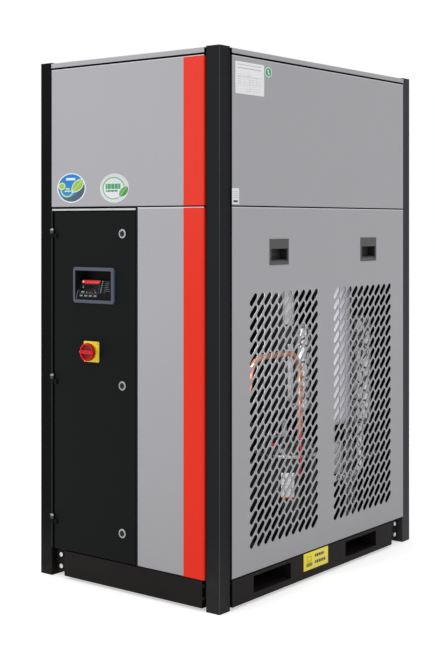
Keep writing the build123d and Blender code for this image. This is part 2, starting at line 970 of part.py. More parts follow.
def switch_knob():
    """Rotary handle: neck, scalloped rim, sunk grip bar and the shaft into the switch."""
    rim_low = knob_height - knob_rim
    knob = Pos(0, 0, rim_low) * extrude(Circle(knob_radius), knob_rim)
    knob = fillet(knob.edges().sort_by(Axis.Z)[-1], knob_ring / 4)
    for index in range(knob_scallops):
        angle = 2 * pi * (index + 0.5) / knob_scallops
        dip = knob_radius + knob_scallop_radius / 2
        knob -= Pos(dip * cos(angle), dip * sin(angle), rim_low) * extrude(
            Circle(knob_scallop_radius),
            knob_rim,
        )
    knob -= Pos(0, 0, knob_floor) * extrude(Circle(knob_radius - knob_ring), knob_height)
    knob += extrude(Circle(knob_neck_radius), knob_floor)
    bar = Pos(0, 0, rim_low) * Box(
        2 * knob_radius,
        knob_bar_width,
        knob_bar_height - rim_low,
        align=(Align.CENTER, Align.CENTER, Align.MIN),
    )
    bar = fillet(bar.edges().filter_by(Axis.X).sort_by(Axis.Z)[-2:], knob_bar_width / 5)
    knob += bar & extrude(Circle(knob_radius - knob_ring / 2), knob_bar_height)
    knob -= Pos(-knob_radius, 0, tab_level()) * tab_slot()
    knob += Pos(0, 0, -shaft_length) * extrude(Circle(shaft_radius), shaft_length + 1)
    return knob_place() * knob


def knob_place():
    return Pos(switch_x, -face_y - switch_boss_height - knob_gap, switch_z) * Rot(90, 0, 0)


def tab_level():
    return (knob_floor + knob_bar_height) / 2


def tab_slot():
    """Slot in the left end of the grip bar, centred on the bar's end."""
    reach = 2 * (tab_length + tab_proud)
    return Box(reach, tab_width + 2 * tab_fit, tab_sheet + 2 * tab_fit)


def padlock_tab():
    """Sliding tab in the grip bar, with its eye."""
    tab = Box(tab_length, tab_width, tab_sheet)
    tab = fillet(tab.edges().filter_by(Axis.Z).sort_by(Axis.X)[:2], tab_width / 3)
    tab -= Pos(-tab_length / 2 + tab_width / 2, 0, 0) * Cylinder(tab_width / 5, 2 * tab_sheet)
    shift = -knob_radius - tab_proud + tab_length / 2
    return knob_place() * Pos(shift, 0, tab_level()) * tab


def switch_body():
    """Rotary switch behind the leaf."""
    half_u = switch_body_width / 2
    half_z = switch_body_height / 2
    body = block(
        switch_x - half_u, switch_x + half_u,
        sheet, sheet + switch_body_depth,
        switch_z - half_z, switch_z + half_z,
    )
    body = fillet(body.edges().filter_by(Axis.Y), 4)
    end = shaft_length - switch_boss_height
    body -= rod((switch_x, 0, switch_z), (switch_x, end, switch_z), shaft_radius + shaft_fit)
    return at_front(body)


# ---------------------------------------------------------------- electrical enclosure
def enclosure_box():
    """Inner faces of the enclosure: left, right, bottom, top, back (as depth behind the face)."""
    left = opening_left + enclosure_gap
    right = opening_right - enclosure_gap
    bottom = beam_top + pan_lip + 1 + enclosure_sheet
    top = mid_rail_low - 1 - enclosure_sheet
    back = panel_depth + enclosure_depth - enclosure_sheet
    return left, right, bottom, top, back


def electrical_enclosure():
    """Sheet box that is closed by the door."""
    left, right, bottom, top, back = enclosure_box()
    wall = enclosure_sheet
    box = block(left - wall, right + wall, panel_depth, back + wall, bottom - wall, top + wall)
    box -= block(left, right, panel_depth - 1, back, bottom, top)
    return at_front(box)


def mounting_plate():
    """Switchgear plate on four standoffs."""
    left, right, bottom, top, back = enclosure_box()
    front = back - plate_standoff - plate_sheet
    x0, x1 = left + plate_margin, right - plate_margin
    z0, z1 = bottom + plate_margin, top - plate_margin
    plate = block(x0, x1, front, front + plate_sheet, z0, z1)
    for x in (x0 + plate_margin, x1 - plate_margin):
        for z in (z0 + plate_margin, z1 - plate_margin):
            plate += rod((x, front + plate_sheet, z), (x, back, z), standoff_radius)
    return at_front(plate)


def switchgear():
    """Contactors, a row of breakers and a terminal strip on the plate."""
    left, right, bottom, top, back = enclosure_box()
    plate_face = back - plate_standoff - plate_sheet
    middle = (left + right) / 2
    pieces = []
    for step in (-1, 0, 1):
        x = middle + step * contactor_pitch
        half = contactor_width / 2
        z = bottom + (top - bottom) * 0.42
        body = block(
            x - half,
            x + half,
            plate_face - contactor_depth,
            plate_face,
            z,
            z + contactor_height,
        )
        shelf = contactor_height / 4
        for low in (z, z + contactor_height - shelf):
            body -= block(
                x - half - 1,
                x + half + 1,
                0,
                plate_face - contactor_depth / 2,
                low,
                low + shelf,
            )
        pieces.append(body)
    half = 2 * contactor_pitch
    z = bottom + (top - bottom) * 0.78
    breakers = block(
        middle - half,
        middle + half,
        plate_face - breaker_depth,
        plate_face,
        z,
        z + contactor_height,
    )
    shelf = contactor_height / 4
    for low in (z, z + contactor_height - shelf):
        cut = plate_face - breaker_depth / 2
        breakers -= block(middle - half - 1, middle + half + 1, 0, cut, low, low + shelf)
    pieces.append(breakers)
    z = bottom + (top - bottom) * 0.16
    strip = block(
        middle - half,
        middle + half,
        plate_face - terminal_depth,
        plate_face,
        z,
        z + contactor_height / 2,
    )
    pieces.append(strip)
    return [at_front(piece) for piece in pieces]


# ---------------------------------------------------------------- refrigeration
def mount_places():
    reach = compressor_plate / 2 - mount_inset
    return [(compressor_x + x, compressor_y + y) for x, y in four_corners(reach, reach)]


def compressor():
    """Hermetic compressor welded to its foot plate."""
    low = compressor_base + compressor_plate_sheet
    body = vessel(compressor_x, compressor_y, low, compressor_top, compressor_radius, compressor_dome)
    rim_low = compressor_top - compressor_dome - compressor_rim_height
    rim_radius = compressor_radius + compressor_rim
    body += rod(
        (compressor_x, compressor_y, rim_low),
        (compressor_x, compressor_y, rim_low + compressor_rim_height),
        rim_radius,
    )
    half = compressor_plate / 2
    body += block(
        compressor_x - half, compressor_x + half,
        compressor_y - half, compressor_y + half,
        compressor_base, low,
    )
    body += rod(
        (compressor_x, compressor_y, low),
        (compressor_x, compressor_y, low + compressor_dome),
        half * 0.8,
    )
    body += rod(
        (discharge_x, discharge_port_y, compressor_top - compressor_dome),
        (discharge_x, discharge_port_y, compressor_top + port_length),
        discharge_radius + port_collar,
    )
    port_end = compressor_y + compressor_radius + suction_port_reach
    body += rod(
        (accumulator_x, compressor_y, suction_low),
        (accumulator_x, port_end, suction_low),
        suction_radius + port_collar,
    )
    return body


def compressor_mounts():
    """Rubber feet between the foot plate and the floor pan."""
    return [rod((x, y, pan_top), (x, y, compressor_base), mount_radius) for x, y in mount_places()]


def terminal_box():
    """Electrical box on the front of the compressor shell."""
    half = terminal_box_width / 2
    front = compressor_y - compressor_radius - terminal_box_depth
    box = block(
        compressor_x - half, compressor_x + half,
        front, compressor_y,
        terminal_box_z, terminal_box_z + terminal_box_height,
    )
    shell = rod(
        (compressor_x, compressor_y, 0),
        (compressor_x, compressor_y, height),
        compressor_radius,
    )
    box -= shell
    return box.solids().sort_by(Axis.Y)[0]


def condenser_coil():
    """Finned block between end plates that stand on the pan, with its inlet header."""
    coil = block(
        coil_left + coil_plate, coil_right - coil_plate,
        coil_front, coil_rear,
        coil_bottom, coil_top - coil_plate,
    )
    for y in (coil_front, coil_rear - coil_plate):
        coil += block(coil_left, coil_right, y, y + coil_plate, pan_top, coil_top)
    top = coil_top - 2 * header_offset
    low = liquid_inlet_z - header_offset
    coil += rod((header_x, header_y, low), (header_x, header_y, top), header_radius)
    for z in (low + header_offset, (low + top) / 2, top - header_offset):
        coil += rod((header_x, header_y, z), (header_x, coil_front, z), header_radius / 2)
    for z, radius in ((discharge_low, discharge_radius), (liquid_inlet_z, liquid_radius)):
        coil += rod(
            (header_x, header_y, z),
            (header_x + header_stub + header_radius, header_y, z),
            radius,
        )
    return coil


def fan_shroud():
    """Shroud plate with a collar and a motor spider for each fan."""
    plate = block(coil_right, shroud_face, coil_front, coil_rear, coil_bottom, coil_top - coil_plate)
    ring = fan_radius + fan_tip_gap
    collar_end = shroud_face + shroud_collar
    for z in fan_heights:
        plate += rod((shroud_face, fan_y, z), (collar_end, fan_y, z), ring + shroud_sheet)
        plate -= rod((coil_right - 1, fan_y, z), (collar_end + 1, fan_y, z), ring)
        for angle in (45, 135, 225, 315):
            across = spider_width / 2
            arm_end = ring + shroud_sheet + spider_reach
            arm = block(spider_x, motor_face, motor_radius * 0.75, arm_end, -across, across)
            arm += block(shroud_face, motor_face, arm_end - spider_reach + 1, arm_end, -across, across)
            plate += Pos(0, fan_y, z) * Rot(angle, 0, 0) * arm
    return plate


def fan_motors():
    """External-rotor motors on the spiders, with their shafts."""
    motors = []
    for z in fan_heights:
        motor = rod((motor_face, fan_y, z), (motor_face + motor_length, fan_y, z), motor_radius)
        motor = fillet(motor.edges().sort_by(Axis.X)[-1], motor_radius / 6)
        motor += rod(
            (fan_centre_x - fan_hub_length / 4, fan_y, z),
            (motor_face + 1, fan_y, z),
            fan_shaft_radius,
        )
        motors.append(motor)
    return motors


def fan(z):
    """Axial fan wheel: hub and pitched blades."""
    low = fan_centre_x - fan_hub_length / 2
    wheel = rod((low, 0, 0), (low + fan_hub_length, 0, 0), fan_hub_radius)
    wheel = fillet(wheel.edges().sort_by(Axis.X)[0], fan_hub_radius / 5)
    root = fan_hub_radius * 0.8
    blade = Box(
        fan_blade_thickness,
        fan_chord,
        fan_radius - root,
        align=(Align.CENTER, Align.CENTER, Align.MIN),
    )
    blade = fillet(blade.edges().filter_by(Axis.X).sort_by(Axis.Z)[-2:], fan_chord / 4)
    blade = Pos(fan_centre_x, 0, root) * Rot(0, 0, fan_pitch + 30) * blade
    disc = rod((low, 0, 0), (low + fan_hub_length, 0, 0), fan_radius)
    for index in range(fan_blades):
        wheel += Rot(360 * index / fan_blades, 0, 0) * blade & disc
    bore = rod(
        (low + fan_hub_length / 4, 0, 0),
        (low + 2 * fan_hub_length, 0, 0),
        fan_shaft_radius + fan_shaft_fit,
    )
    return Pos(0, fan_y, z) * (wheel - bore)


def liquid_receiver():
    """Upright receiver standing on the pan, with its inlet stub."""
    top = pan_top + receiver_height
    body = vessel(receiver_x, receiver_y, pan_top, top, receiver_radius, receiver_dome)
    body += rod(
        (receiver_x, receiver_y, pan_top),
        (receiver_x, receiver_y, pan_top + receiver_dome),
        receiver_radius * 0.9,
    )
    body += rod(
        (receiver_x - receiver_radius - header_stub, header_y, liquid_inlet_z),
        (receiver_x, header_y, liquid_inlet_z),
        liquid_radius + port_collar,
    )
    return body


def filter_drier():
    """Drier cartridge in the liquid riser."""
    return vessel(
        receiver_x,
        receiver_y,
        drier_bottom,
        drier_bottom + drier_length,
        drier_radius,
        drier_radius / 2,
    )


def accumulator():
    """Suction accumulator."""
    top = accumulator_bottom + accumulator_height
    return vessel(
        accumulator_x,
        accumulator_y,
        accumulator_bottom,
        top,
        accumulator_radius,
        accumulator_dome,
    )


def vessel_stand():
    """Upright plate on the pan with two bands round the accumulator."""
    half = stand_width / 2
    inner = accumulator_radius + stand_gap
    back = accumulator_x - inner - stand_sheet
    high = stand_bands[-1] + stand_band_height
    stand = block(back, back + stand_sheet, accumulator_y - half, accumulator_y + half, pan_top, high)
    stand += block(
        back,
        back + half,
        accumulator_y - half,
        accumulator_y + half,
        pan_top,
        pan_top + stand_sheet,
    )
    for z in stand_bands:
        stand += rod(
            (accumulator_x, accumulator_y, z),
            (accumulator_x, accumulator_y, z + stand_band_height),
            inner + stand_band,
        )
        stand -= rod(
            (accumulator_x, accumulator_y, z - 1),
            (accumulator_x, accumulator_y, z + stand_band_height + 1),
            inner,
        )
    return stand


def refrigerant_pipes():
    """Discharge, suction and liquid lines."""
    port_top = compressor_top + port_length
    stub_end = header_x + header_stub + header_radius
    discharge = pipe(
        [
            (discharge_x, discharge_port_y, port_top),
            (discharge_x, discharge_port_y, discharge_top),
            (discharge_x, discharge_front, discharge_top),
            (discharge_x, discharge_front, discharge_low),
            (discharge_x - 4 * discharge_bend, header_y, discharge_low),
            (stub_end, header_y, discharge_low),
        ],
        discharge_radius,
        discharge_bend,
    )
    suction_to_compressor = pipe(
        [
            (accumulator_x, accumulator_y, accumulator_bottom),
            (accumulator_x, accumulator_y, suction_low),
            (accumulator_x, compressor_y + compressor_radius + suction_port_reach, suction_low),
        ],
        suction_radius,
        suction_bend,
    )
    suction_from_exchanger = pipe(
        [
            (accumulator_x, accumulator_y, accumulator_bottom + accumulator_height),
            (accumulator_x, accumulator_y, suction_high),
            (suction_exchanger_x, accumulator_y, suction_high),
            (suction_exchanger_x, accumulator_y, exchanger_bottom),
        ],
        suction_radius,
        suction_bend,
    )
    receiver_stub = receiver_x - receiver_radius - header_stub
    liquid_in = rod(
        (stub_end, header_y, liquid_inlet_z),
        (receiver_stub, header_y, liquid_inlet_z),
        liquid_radius,
    )
    receiver_top = pan_top + receiver_height
    riser_low = rod(
        (receiver_x, receiver_y, receiver_top),
        (receiver_x, receiver_y, drier_bottom),
        liquid_radius,
    )
    drier_top = drier_bottom + drier_length
    riser_high = rod(
        (receiver_x, receiver_y, drier_top),
        (receiver_x, receiver_y, exchanger_bottom),
        liquid_radius,
    )
    return [discharge, suction_to_compressor, suction_from_exchanger, liquid_in, riser_low, riser_high]


# ---------------------------------------------------------------- compressed air
def heat_exchanger():
    """Insulated air-to-air and evaporator block on two feet."""
    top = exchanger_bottom + exchanger_height
    body = block(exchanger_left, exchanger_right, exchanger_front, exchanger_rear, exchanger_bottom, top)
    body = fillet(body.edges(), exchanger_corner)
    for y in (exchanger_front + exchanger_foot_inset, exchanger_rear - exchanger_foot_inset):
        half = exchanger_foot_width / 2
        body += block(
            exchanger_left + exchanger_corner, exchanger_right - exchanger_corner,
            y - half, y + half,
            deck_top, exchanger_bottom + exchanger_corner,
        )
    return body


def filter_heads():
    """Cast heads that stand on the deck over the bowls."""
    heads = []
    half = head_size / 2
    for x in (pre_filter_x, after_filter_x):
        head = block(
            x - half,
            x + half,
            filter_y - half,
            filter_y + half,
            deck_top,
            deck_top + head_height,
        )
        head = fillet(head.edges().filter_by(Axis.Z), head_corner)
        head = fillet(head.faces().sort_by(Axis.Z)[-1].edges(), head_corner / 2)
        heads.append(head)
    return heads


def filter_bowls():
    """Long bowls that hang below the deck."""
    bowls = []
    for x in (pre_filter_x, after_filter_x):
        bowl = rod((x, filter_y, bowl_bottom), (x, filter_y, deck_top), bowl_radius)
        bowl = fillet(bowl.edges().sort_by(Axis.Z)[0], bowl_dome)
        bowls.append(bowl)
    return bowls


def condensate_drains():
    """Automatic drains under the bowls; the first carries the outlet boss."""
    drains = []
    top = bowl_bottom - drain_drop
    for x in (pre_filter_x, after_filter_x):
        drain = rod((x, filter_y, top - drain_height), (x, filter_y, top), drain_radius)
        drain = fillet(drain.edges().filter_by(GeomType.CIRCLE), drain_radius / 6)
        drain += rod((x, filter_y, top - 1), (x, filter_y, bowl_bottom), drain_stem_radius)
        drains.append(drain)
    boss_end = filter_y + drain_radius + drain_boss
    drains[0] += rod(
        (pre_filter_x, filter_y, valve_z),
        (pre_filter_x, boss_end, valve_z),
        valve_pipe_radius,
    )
    return drains


def moisture_separator():
    """Insulated separator vessel with the pipe from its lower side up to the deck."""
    top = separator_bottom + separator_height
    body = vessel(separator_x, separator_y, separator_bottom, top, separator_radius, separator_dome)
    inlet_z = separator_bottom + separator_inlet
    riser_y = separator_y - separator_riser
    front = riser_y - separator_pipe_run
    body += pipe(
        [
            (separator_x, separator_y, inlet_z),
            (separator_x, riser_y, inlet_z),
            (separator_x, riser_y, separator_pipe_turn_z),
            (separator_x, front, separator_pipe_turn_z),
            (separator_x, front, mid_rail_high),
        ],
        separator_pipe_radius,
        separator_pipe_bend,
    )
    return body


def air_pipes():
    """Inlet and outlet pipes with their stubs outside the panel, and the links to the exchanger."""
    pieces = []
    head_rear = filter_y + head_size / 2
    stub = face_y + air_stub_gap
    end = face_y + air_pipe_reach
    for x in (pre_filter_x, after_filter_x):
        run = rod((x, head_rear, air_axis_z), (x, stub, air_axis_z), air_link_radius)
        run += rod((x, stub, air_axis_z), (x, end, air_axis_z), air_pipe_radius)
        run -= rod((x, head_rear - 1, air_axis_z), (x, end, air_axis_z), air_link_radius - air_pipe_wall)
        run -= rod((x, stub, air_axis_z), (x, end + 1, air_axis_z), air_pipe_radius - air_pipe_wall)
        pieces.append(run)
    pieces.append(
        pipe(
            [
                (pre_filter_x, filter_y - head_size / 2, air_axis_z),
                (pre_filter_x, air_pipe_front, air_axis_z),
                (exchanger_right, air_pipe_front, air_axis_z),
            ],
            air_link_radius,
            air_pipe_bend,
        )
    )
    head_left = after_filter_x - head_size / 2
    pieces.append(
        rod((exchanger_right, filter_y, air_axis_z), (head_left, filter_y, air_axis_z), air_link_radius)
    )
    return pieces


# ---------------------------------------------------------------- rear fittings
def drain_pipe():
    """Pipe from the automatic drain to the ball valve."""
    start = filter_y + drain_radius + drain_boss
    end = face_y + valve_gap
    run = rod((pre_filter_x, start, valve_z), (pre_filter_x, end, valve_z), valve_pipe_radius)
    washer = rod(
        (pre_filter_x, face_y, valve_z),
        (pre_filter_x, face_y + valve_gap / 2, valve_z),
        valve_washer,
    )
    bore = rod((pre_filter_x, start - 1, valve_z), (pre_filter_x, end + 1, valve_z), valve_pipe_bore)
    return run + washer - bore


def ball_valve():
    """Valve body with a threaded socket."""
    start = face_y + valve_gap
    half = valve_size / 2
    end = start + valve_length
    body = block(pre_filter_x - half, pre_filter_x + half, start, end, valve_z - half, valve_z + half)
    body = chamfer(body.edges().filter_by(Axis.Y), valve_size / 6)
    body -= rod(
        (pre_filter_x, end - valve_socket, valve_z),
        (pre_filter_x, end + 1, valve_z),
        valve_pipe_bore,
    )
    middle = (start + end) / 2
    top = valve_z + half
    body -= rod(
        (pre_filter_x, middle, top - stem_depth),
        (pre_filter_x, middle, top + 1),
        stem_radius + stem_fit,
    )
    return body


def valve_lever():
    """Quarter-turn lever on its stem, across the pipe when the valve is shut."""
    middle = face_y + valve_gap + valve_length / 2
    top = valve_z + valve_size / 2
    low = top - stem_depth + knuckle_gap
    high = top + stem_height
    lever = rod((pre_filter_x, middle, low), (pre_filter_x, middle, high), stem_radius)
    half = lever_width / 2
    arm = block(
        pre_filter_x - lever_length, pre_filter_x + half,
        middle - half, middle + half,
        high - lever_sheet, high,
    )
    arm = fillet(arm.edges().filter_by(Axis.Z), half * 0.9)
    return lever + arm


def cable_gland():
    """Cable gland and its inner nut."""
    body = Rot(-90, 0, 0) * hexagon(gland_nut_across, gland_nut_height)
    body += rod((0, gland_nut_height, 0), (0, gland_length, 0), gland_radius * 0.8)
    body += rod((0, 0, 0), (0, -panel_depth / 2, 0), gland_thread_radius)
    body -= rod((0, -panel_depth, 0), (0, gland_length + 1, 0), gland_bore)
    nut = Rot(90, 0, 0) * hexagon(gland_nut_across, gland_nut_height)
    nut -= Rot(90, 0, 0) * Cylinder(gland_thread_radius + lock_core_fit, 4 * gland_nut_height)
    place = Pos(gland_x, face_y, gland_z)
    return [place * body, place * Pos(0, -sheet, 0) * nut]


# ---------------------------------------------------------------- write the nodes
os.makedirs("parts", exist_ok=True)

front_u0 = -inner_x + front_setback_left
front_u1 = inner_x - front_setback_right
side_u0 = -inner_y + side_setback_front
side_u1 = inner_y - side_setback_rear

save("corner_posts", corner_posts())
end_beam = base_beam(front_u0, front_u1, inner_x, ())
right_beam = base_beam(side_u0, side_u1, inner_y, (fork_front, fork_rear))
left_beam = base_beam(-side_u1, -side_u0, inner_y, (-fork_front, -fork_rear))
save("end_base_beams", [at_front(end_beam), at_rear(end_beam)])
save("side_base_beams", [at_right(right_beam), at_left(left_beam)])
sides = ((at_front, inner_x), (at_rear, inner_x), (at_right, inner_y), (at_left, inner_y))
save("corner_brackets", [place(item) for place, span in sides for item in beam_brackets(span)])
save("base_bolts", [place(item) for place, span in sides for item in beam_bolts(span)])
save("fork_channels", fork_channels())
save("floor_pan", floor_pan())
save("top_rails", rail_ring(cover_under - top_rail_height, cover_under))
save("middle_rails", rail_ring(mid_rail_low, mid_rail_high) + [mullion()])
save("equipment_deck", equipment_deck())
save("top_cover", top_cover())

save("front_upper_panel", at_front(tray(-panel_half_x, panel_half_x, seam_high, panel_top, panel_depth)))
lower_left = door_right + lower_panel_gap
save("front_lower_panel", at_front(tray(lower_left, panel_half_x, panel_bottom, seam_low, panel_depth)))
side_upper = tray(-panel_half_y, panel_half_y, seam_high, panel_top, panel_depth)
save("side_upper_panels", [at_right(side_upper), at_left(side_upper)])
save("right_service_panel", at_right(service_panel(1)))
save("left_service_panel", at_left(service_panel(-1)))
save("right_pull_pockets", [at_right(item) for item in pull_pockets(1)])
save("left_pull_pockets", [at_left(item) for item in pull_pockets(-1)])
save("panel_catches", [place(item) for place in (at_right, at_left) for item in panel_catches()])
save("rear_upper_panel", at_rear(rear_upper_panel()))
save("rear_lower_panel", at_rear(rear_lower_panel()))

save("door_frame", door_frame())
save("door_gasket", door_gasket())
save("door", door_leaf())
save("frame_hinges", hinge_knuckles(False) + hinge_pins())
save("door_knuckles", hinge_knuckles(True))
save("lock_bodies", lock_bodies())
for name, z in zip(("bottom", "middle", "top"), lock_heights):
    save(f"{name}_lock_core", lock_core(z))

save("controller_bezel", controller_bezel())
save("control_panel", control_panel())
for index, place in enumerate(key_places()):
    save(f"key_{index + 1}", key_cap(place))
save("switch_plate", switch_plate())
save("switch_knob", switch_knob())
save("padlock_tab", padlock_tab())
save("switch_body", switch_body())
save("electrical_enclosure", electrical_enclosure())
save("switchgear", [mounting_plate()] + switchgear())

save("compressor", [compressor(), terminal_box()])
save("compressor_mounts", compressor_mounts())
save("condenser_coil", condenser_coil())
save("fan_shroud", fan_shroud())
save("fan_motors", fan_motors())
for name, z in zip(("lower", "upper"), fan_heights):
    save(f"{name}_fan", fan(z))
save("liquid_receiver", [liquid_receiver(), filter_drier()])
save("accumulator", [accumulator(), vessel_stand()])
save("refrigerant_pipes", refrigerant_pipes())

save("heat_exchanger", heat_exchanger())
save("filter_heads", filter_heads())
save("filter_bowls", filter_bowls())
save("moisture_separator", moisture_separator())
save("air_pipes", air_pipes())
save("condensate_drains", condensate_drains() + [drain_pipe(), ball_valve()])
save("valve_lever", valve_lever())
save("cable_gland", cable_gland())
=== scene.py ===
"""Refrigerated air dryer: finishes, labels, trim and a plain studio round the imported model."""

import math

import bmesh
import bpy
from bpy.props import FloatProperty, FloatVectorProperty, PointerProperty
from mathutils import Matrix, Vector


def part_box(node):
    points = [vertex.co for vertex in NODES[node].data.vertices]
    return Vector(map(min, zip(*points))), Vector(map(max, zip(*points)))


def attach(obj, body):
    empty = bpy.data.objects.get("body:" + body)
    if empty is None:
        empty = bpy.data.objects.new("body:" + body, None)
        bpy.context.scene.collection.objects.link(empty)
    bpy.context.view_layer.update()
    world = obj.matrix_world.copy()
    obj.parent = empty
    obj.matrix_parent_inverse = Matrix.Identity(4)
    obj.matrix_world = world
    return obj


bl_info = {
    "name": "Refrigerated air dryer",
    "version": (1, 0, 0),
    "blender": (4, 5, 0),
    "location": "3D View > Sidebar > Dryer",
    "description": "Dresses the packed dryer with its finishes, labels, trim and a plain studio",
    "category": "Object",
}

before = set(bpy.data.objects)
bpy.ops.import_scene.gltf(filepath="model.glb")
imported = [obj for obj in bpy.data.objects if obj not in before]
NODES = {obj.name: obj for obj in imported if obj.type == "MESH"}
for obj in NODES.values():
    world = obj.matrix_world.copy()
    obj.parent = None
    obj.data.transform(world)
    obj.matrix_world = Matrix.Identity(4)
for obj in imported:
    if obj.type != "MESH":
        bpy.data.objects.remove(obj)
MM = 0.001


def span(node):
    """Lowest and highest corner of a CAD node."""
    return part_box(node)


# ---------------------------------------------------------------- sizes and colours
def length(name, description, default):
    return FloatProperty(
        name=name, description=description, default=default, min=0, subtype="DISTANCE", unit="LENGTH"
    )


def colour(name, description, default):
    return FloatVectorProperty(
        name=name, description=description, default=default, min=0, max=1, size=3, subtype="COLOR"
    )


class DryerSizes(bpy.types.PropertyGroup):
    """Sizes of the labels and the trim."""

    stripe_width: length("Stripe width", "Width of the vinyl stripe on the front", 0.0745)
    bend: length("Bend", "Outer radius of the folded panel edges", 0.0035)
    film: length("Film thickness", "Thickness of stripes and printed labels", 0.0004)
    badge_width: length("Badge width", "Width of the oval badges", 0.122)
    badge_height: length("Badge height", "Height of the oval badges", 0.091)
    plate_width: length("Data plate width", "Width of the plain data plate", 0.140)
    plate_height: length("Data plate height", "Height of the plain data plate", 0.092)
    base_label_width: length("Base label width", "Width of the yellow label on the base", 0.137)
    base_label_height: length("Base label height", "Height of the yellow label on the base", 0.0535)
    screw_head: length("Screw head", "Radius of the pan-head screws", 0.0055)
    screw_rise: length("Screw head rise", "Height of the pan-head screws", 0.0026)
    console_run: length("Console run", "How far the console face leans back", 0.019)
    console_rise: length("Console rise", "Height of the leaning console face", 0.060)
    lead: length("Lead thickness", "Thickness of the wiring inside", 0.005)
    bend_pitch: length("Return bend pitch", "Distance of the two ends of a return bend", 0.0254)
    bend_tube: length("Return bend tube", "Radius of the tube of a return bend", 0.0048)


class DryerColours(bpy.types.PropertyGroup):
    """Colours of the main finishes, as linear values."""

    panel: colour("Panels", "Grey powder coat of the panels", (0.430, 0.428, 0.452))
    post: colour("Posts", "Black powder coat of the corner posts", (0.0076, 0.0082, 0.0090))
    beam: colour("Base", "Black powder coat of the base", (0.0088, 0.0074, 0.0074))
    door: colour("Door", "Black powder coat of the door", (0.0058, 0.0066, 0.0068))
    # painted shade: the sheet metal inside is coloured near-black for the dark inside of the cabinet
    inside: colour("Inside", "Dark coat of the sheet metal inside", (0.0060, 0.0062, 0.0068))
    stripe: colour("Stripe", "Vinyl of the front stripe", (0.870, 0.0275, 0.0082))
    warning: colour("Base label", "Yellow of the base label", (1.000, 0.830, 0.030))
    switch: colour("Switch plate", "Yellow of the switch plate", (1.000, 0.830, 0.035))
    handle: colour("Switch handle", "Red of the rotary handle", (0.480, 0.005, 0.008))
    bezel: colour("Bezel", "Blue-grey of the controller bezel", (0.076, 0.087, 0.122))


class DryerStudio(bpy.types.PropertyGroup):
    """The camera and the light."""

    lens: FloatProperty(name="Lens", description="Focal length", default=68.84, unit="CAMERA")
    eye: FloatVectorProperty(
        name="Camera place", description="Where the camera stands", default=(2.516, -3.333, 1.0965),
        subtype="XYZ", unit="LENGTH",
    )
    turn: FloatProperty(
        name="Camera turn", description="Turn of the camera from straight ahead",
        default=math.radians(37.813), subtype="ANGLE", unit="ROTATION",
    )
    rise: FloatProperty(name="Camera shift", description="Upright shift of the lens", default=-0.1601)
    sky: FloatProperty(name="Room light", description="Strength of the even light", default=0.56, min=0)
    key: FloatProperty(name="Main lamp", description="Power of the front lamp", default=58.0, min=0)
    fill: FloatProperty(name="Side lamp", description="Power of the side lamp", default=20.0, min=0)
    top: FloatProperty(name="Top lamp", description="Power of the overhead lamp", default=50.0, min=0)
    inner: FloatProperty(
        name="Inner lamp", description="Power of the lamp behind the slots", default=4.2, min=0
    )
    floor_size: length("Floor", "Side of the floor", 60.0)


# ---------------------------------------------------------------- finishes
class Value:
    """A shader value that takes part in Python expressions."""

    def __init__(self, finish, socket):
        self.finish = finish
        self.socket = socket

    def __add__(self, other):
        return self.finish.math("ADD", self, other)

    __radd__ = __add__

    def __mul__(self, other):
        return self.finish.math("MULTIPLY", self, other)

    __rmul__ = __mul__

    def __sub__(self, other):
        return self.finish.math("SUBTRACT", self, other)

    def __rsub__(self, other):
        return self.finish.math("SUBTRACT", other, self)

    def __truediv__(self, other):
        return self.finish.math("DIVIDE", self, other)

    def __gt__(self, other):
        return self.finish.math("GREATER_THAN", self, other)

    def __lt__(self, other):
        return self.finish.math("LESS_THAN", self, other)

    def __abs__(self):
        return self.finish.math("ABSOLUTE", self)


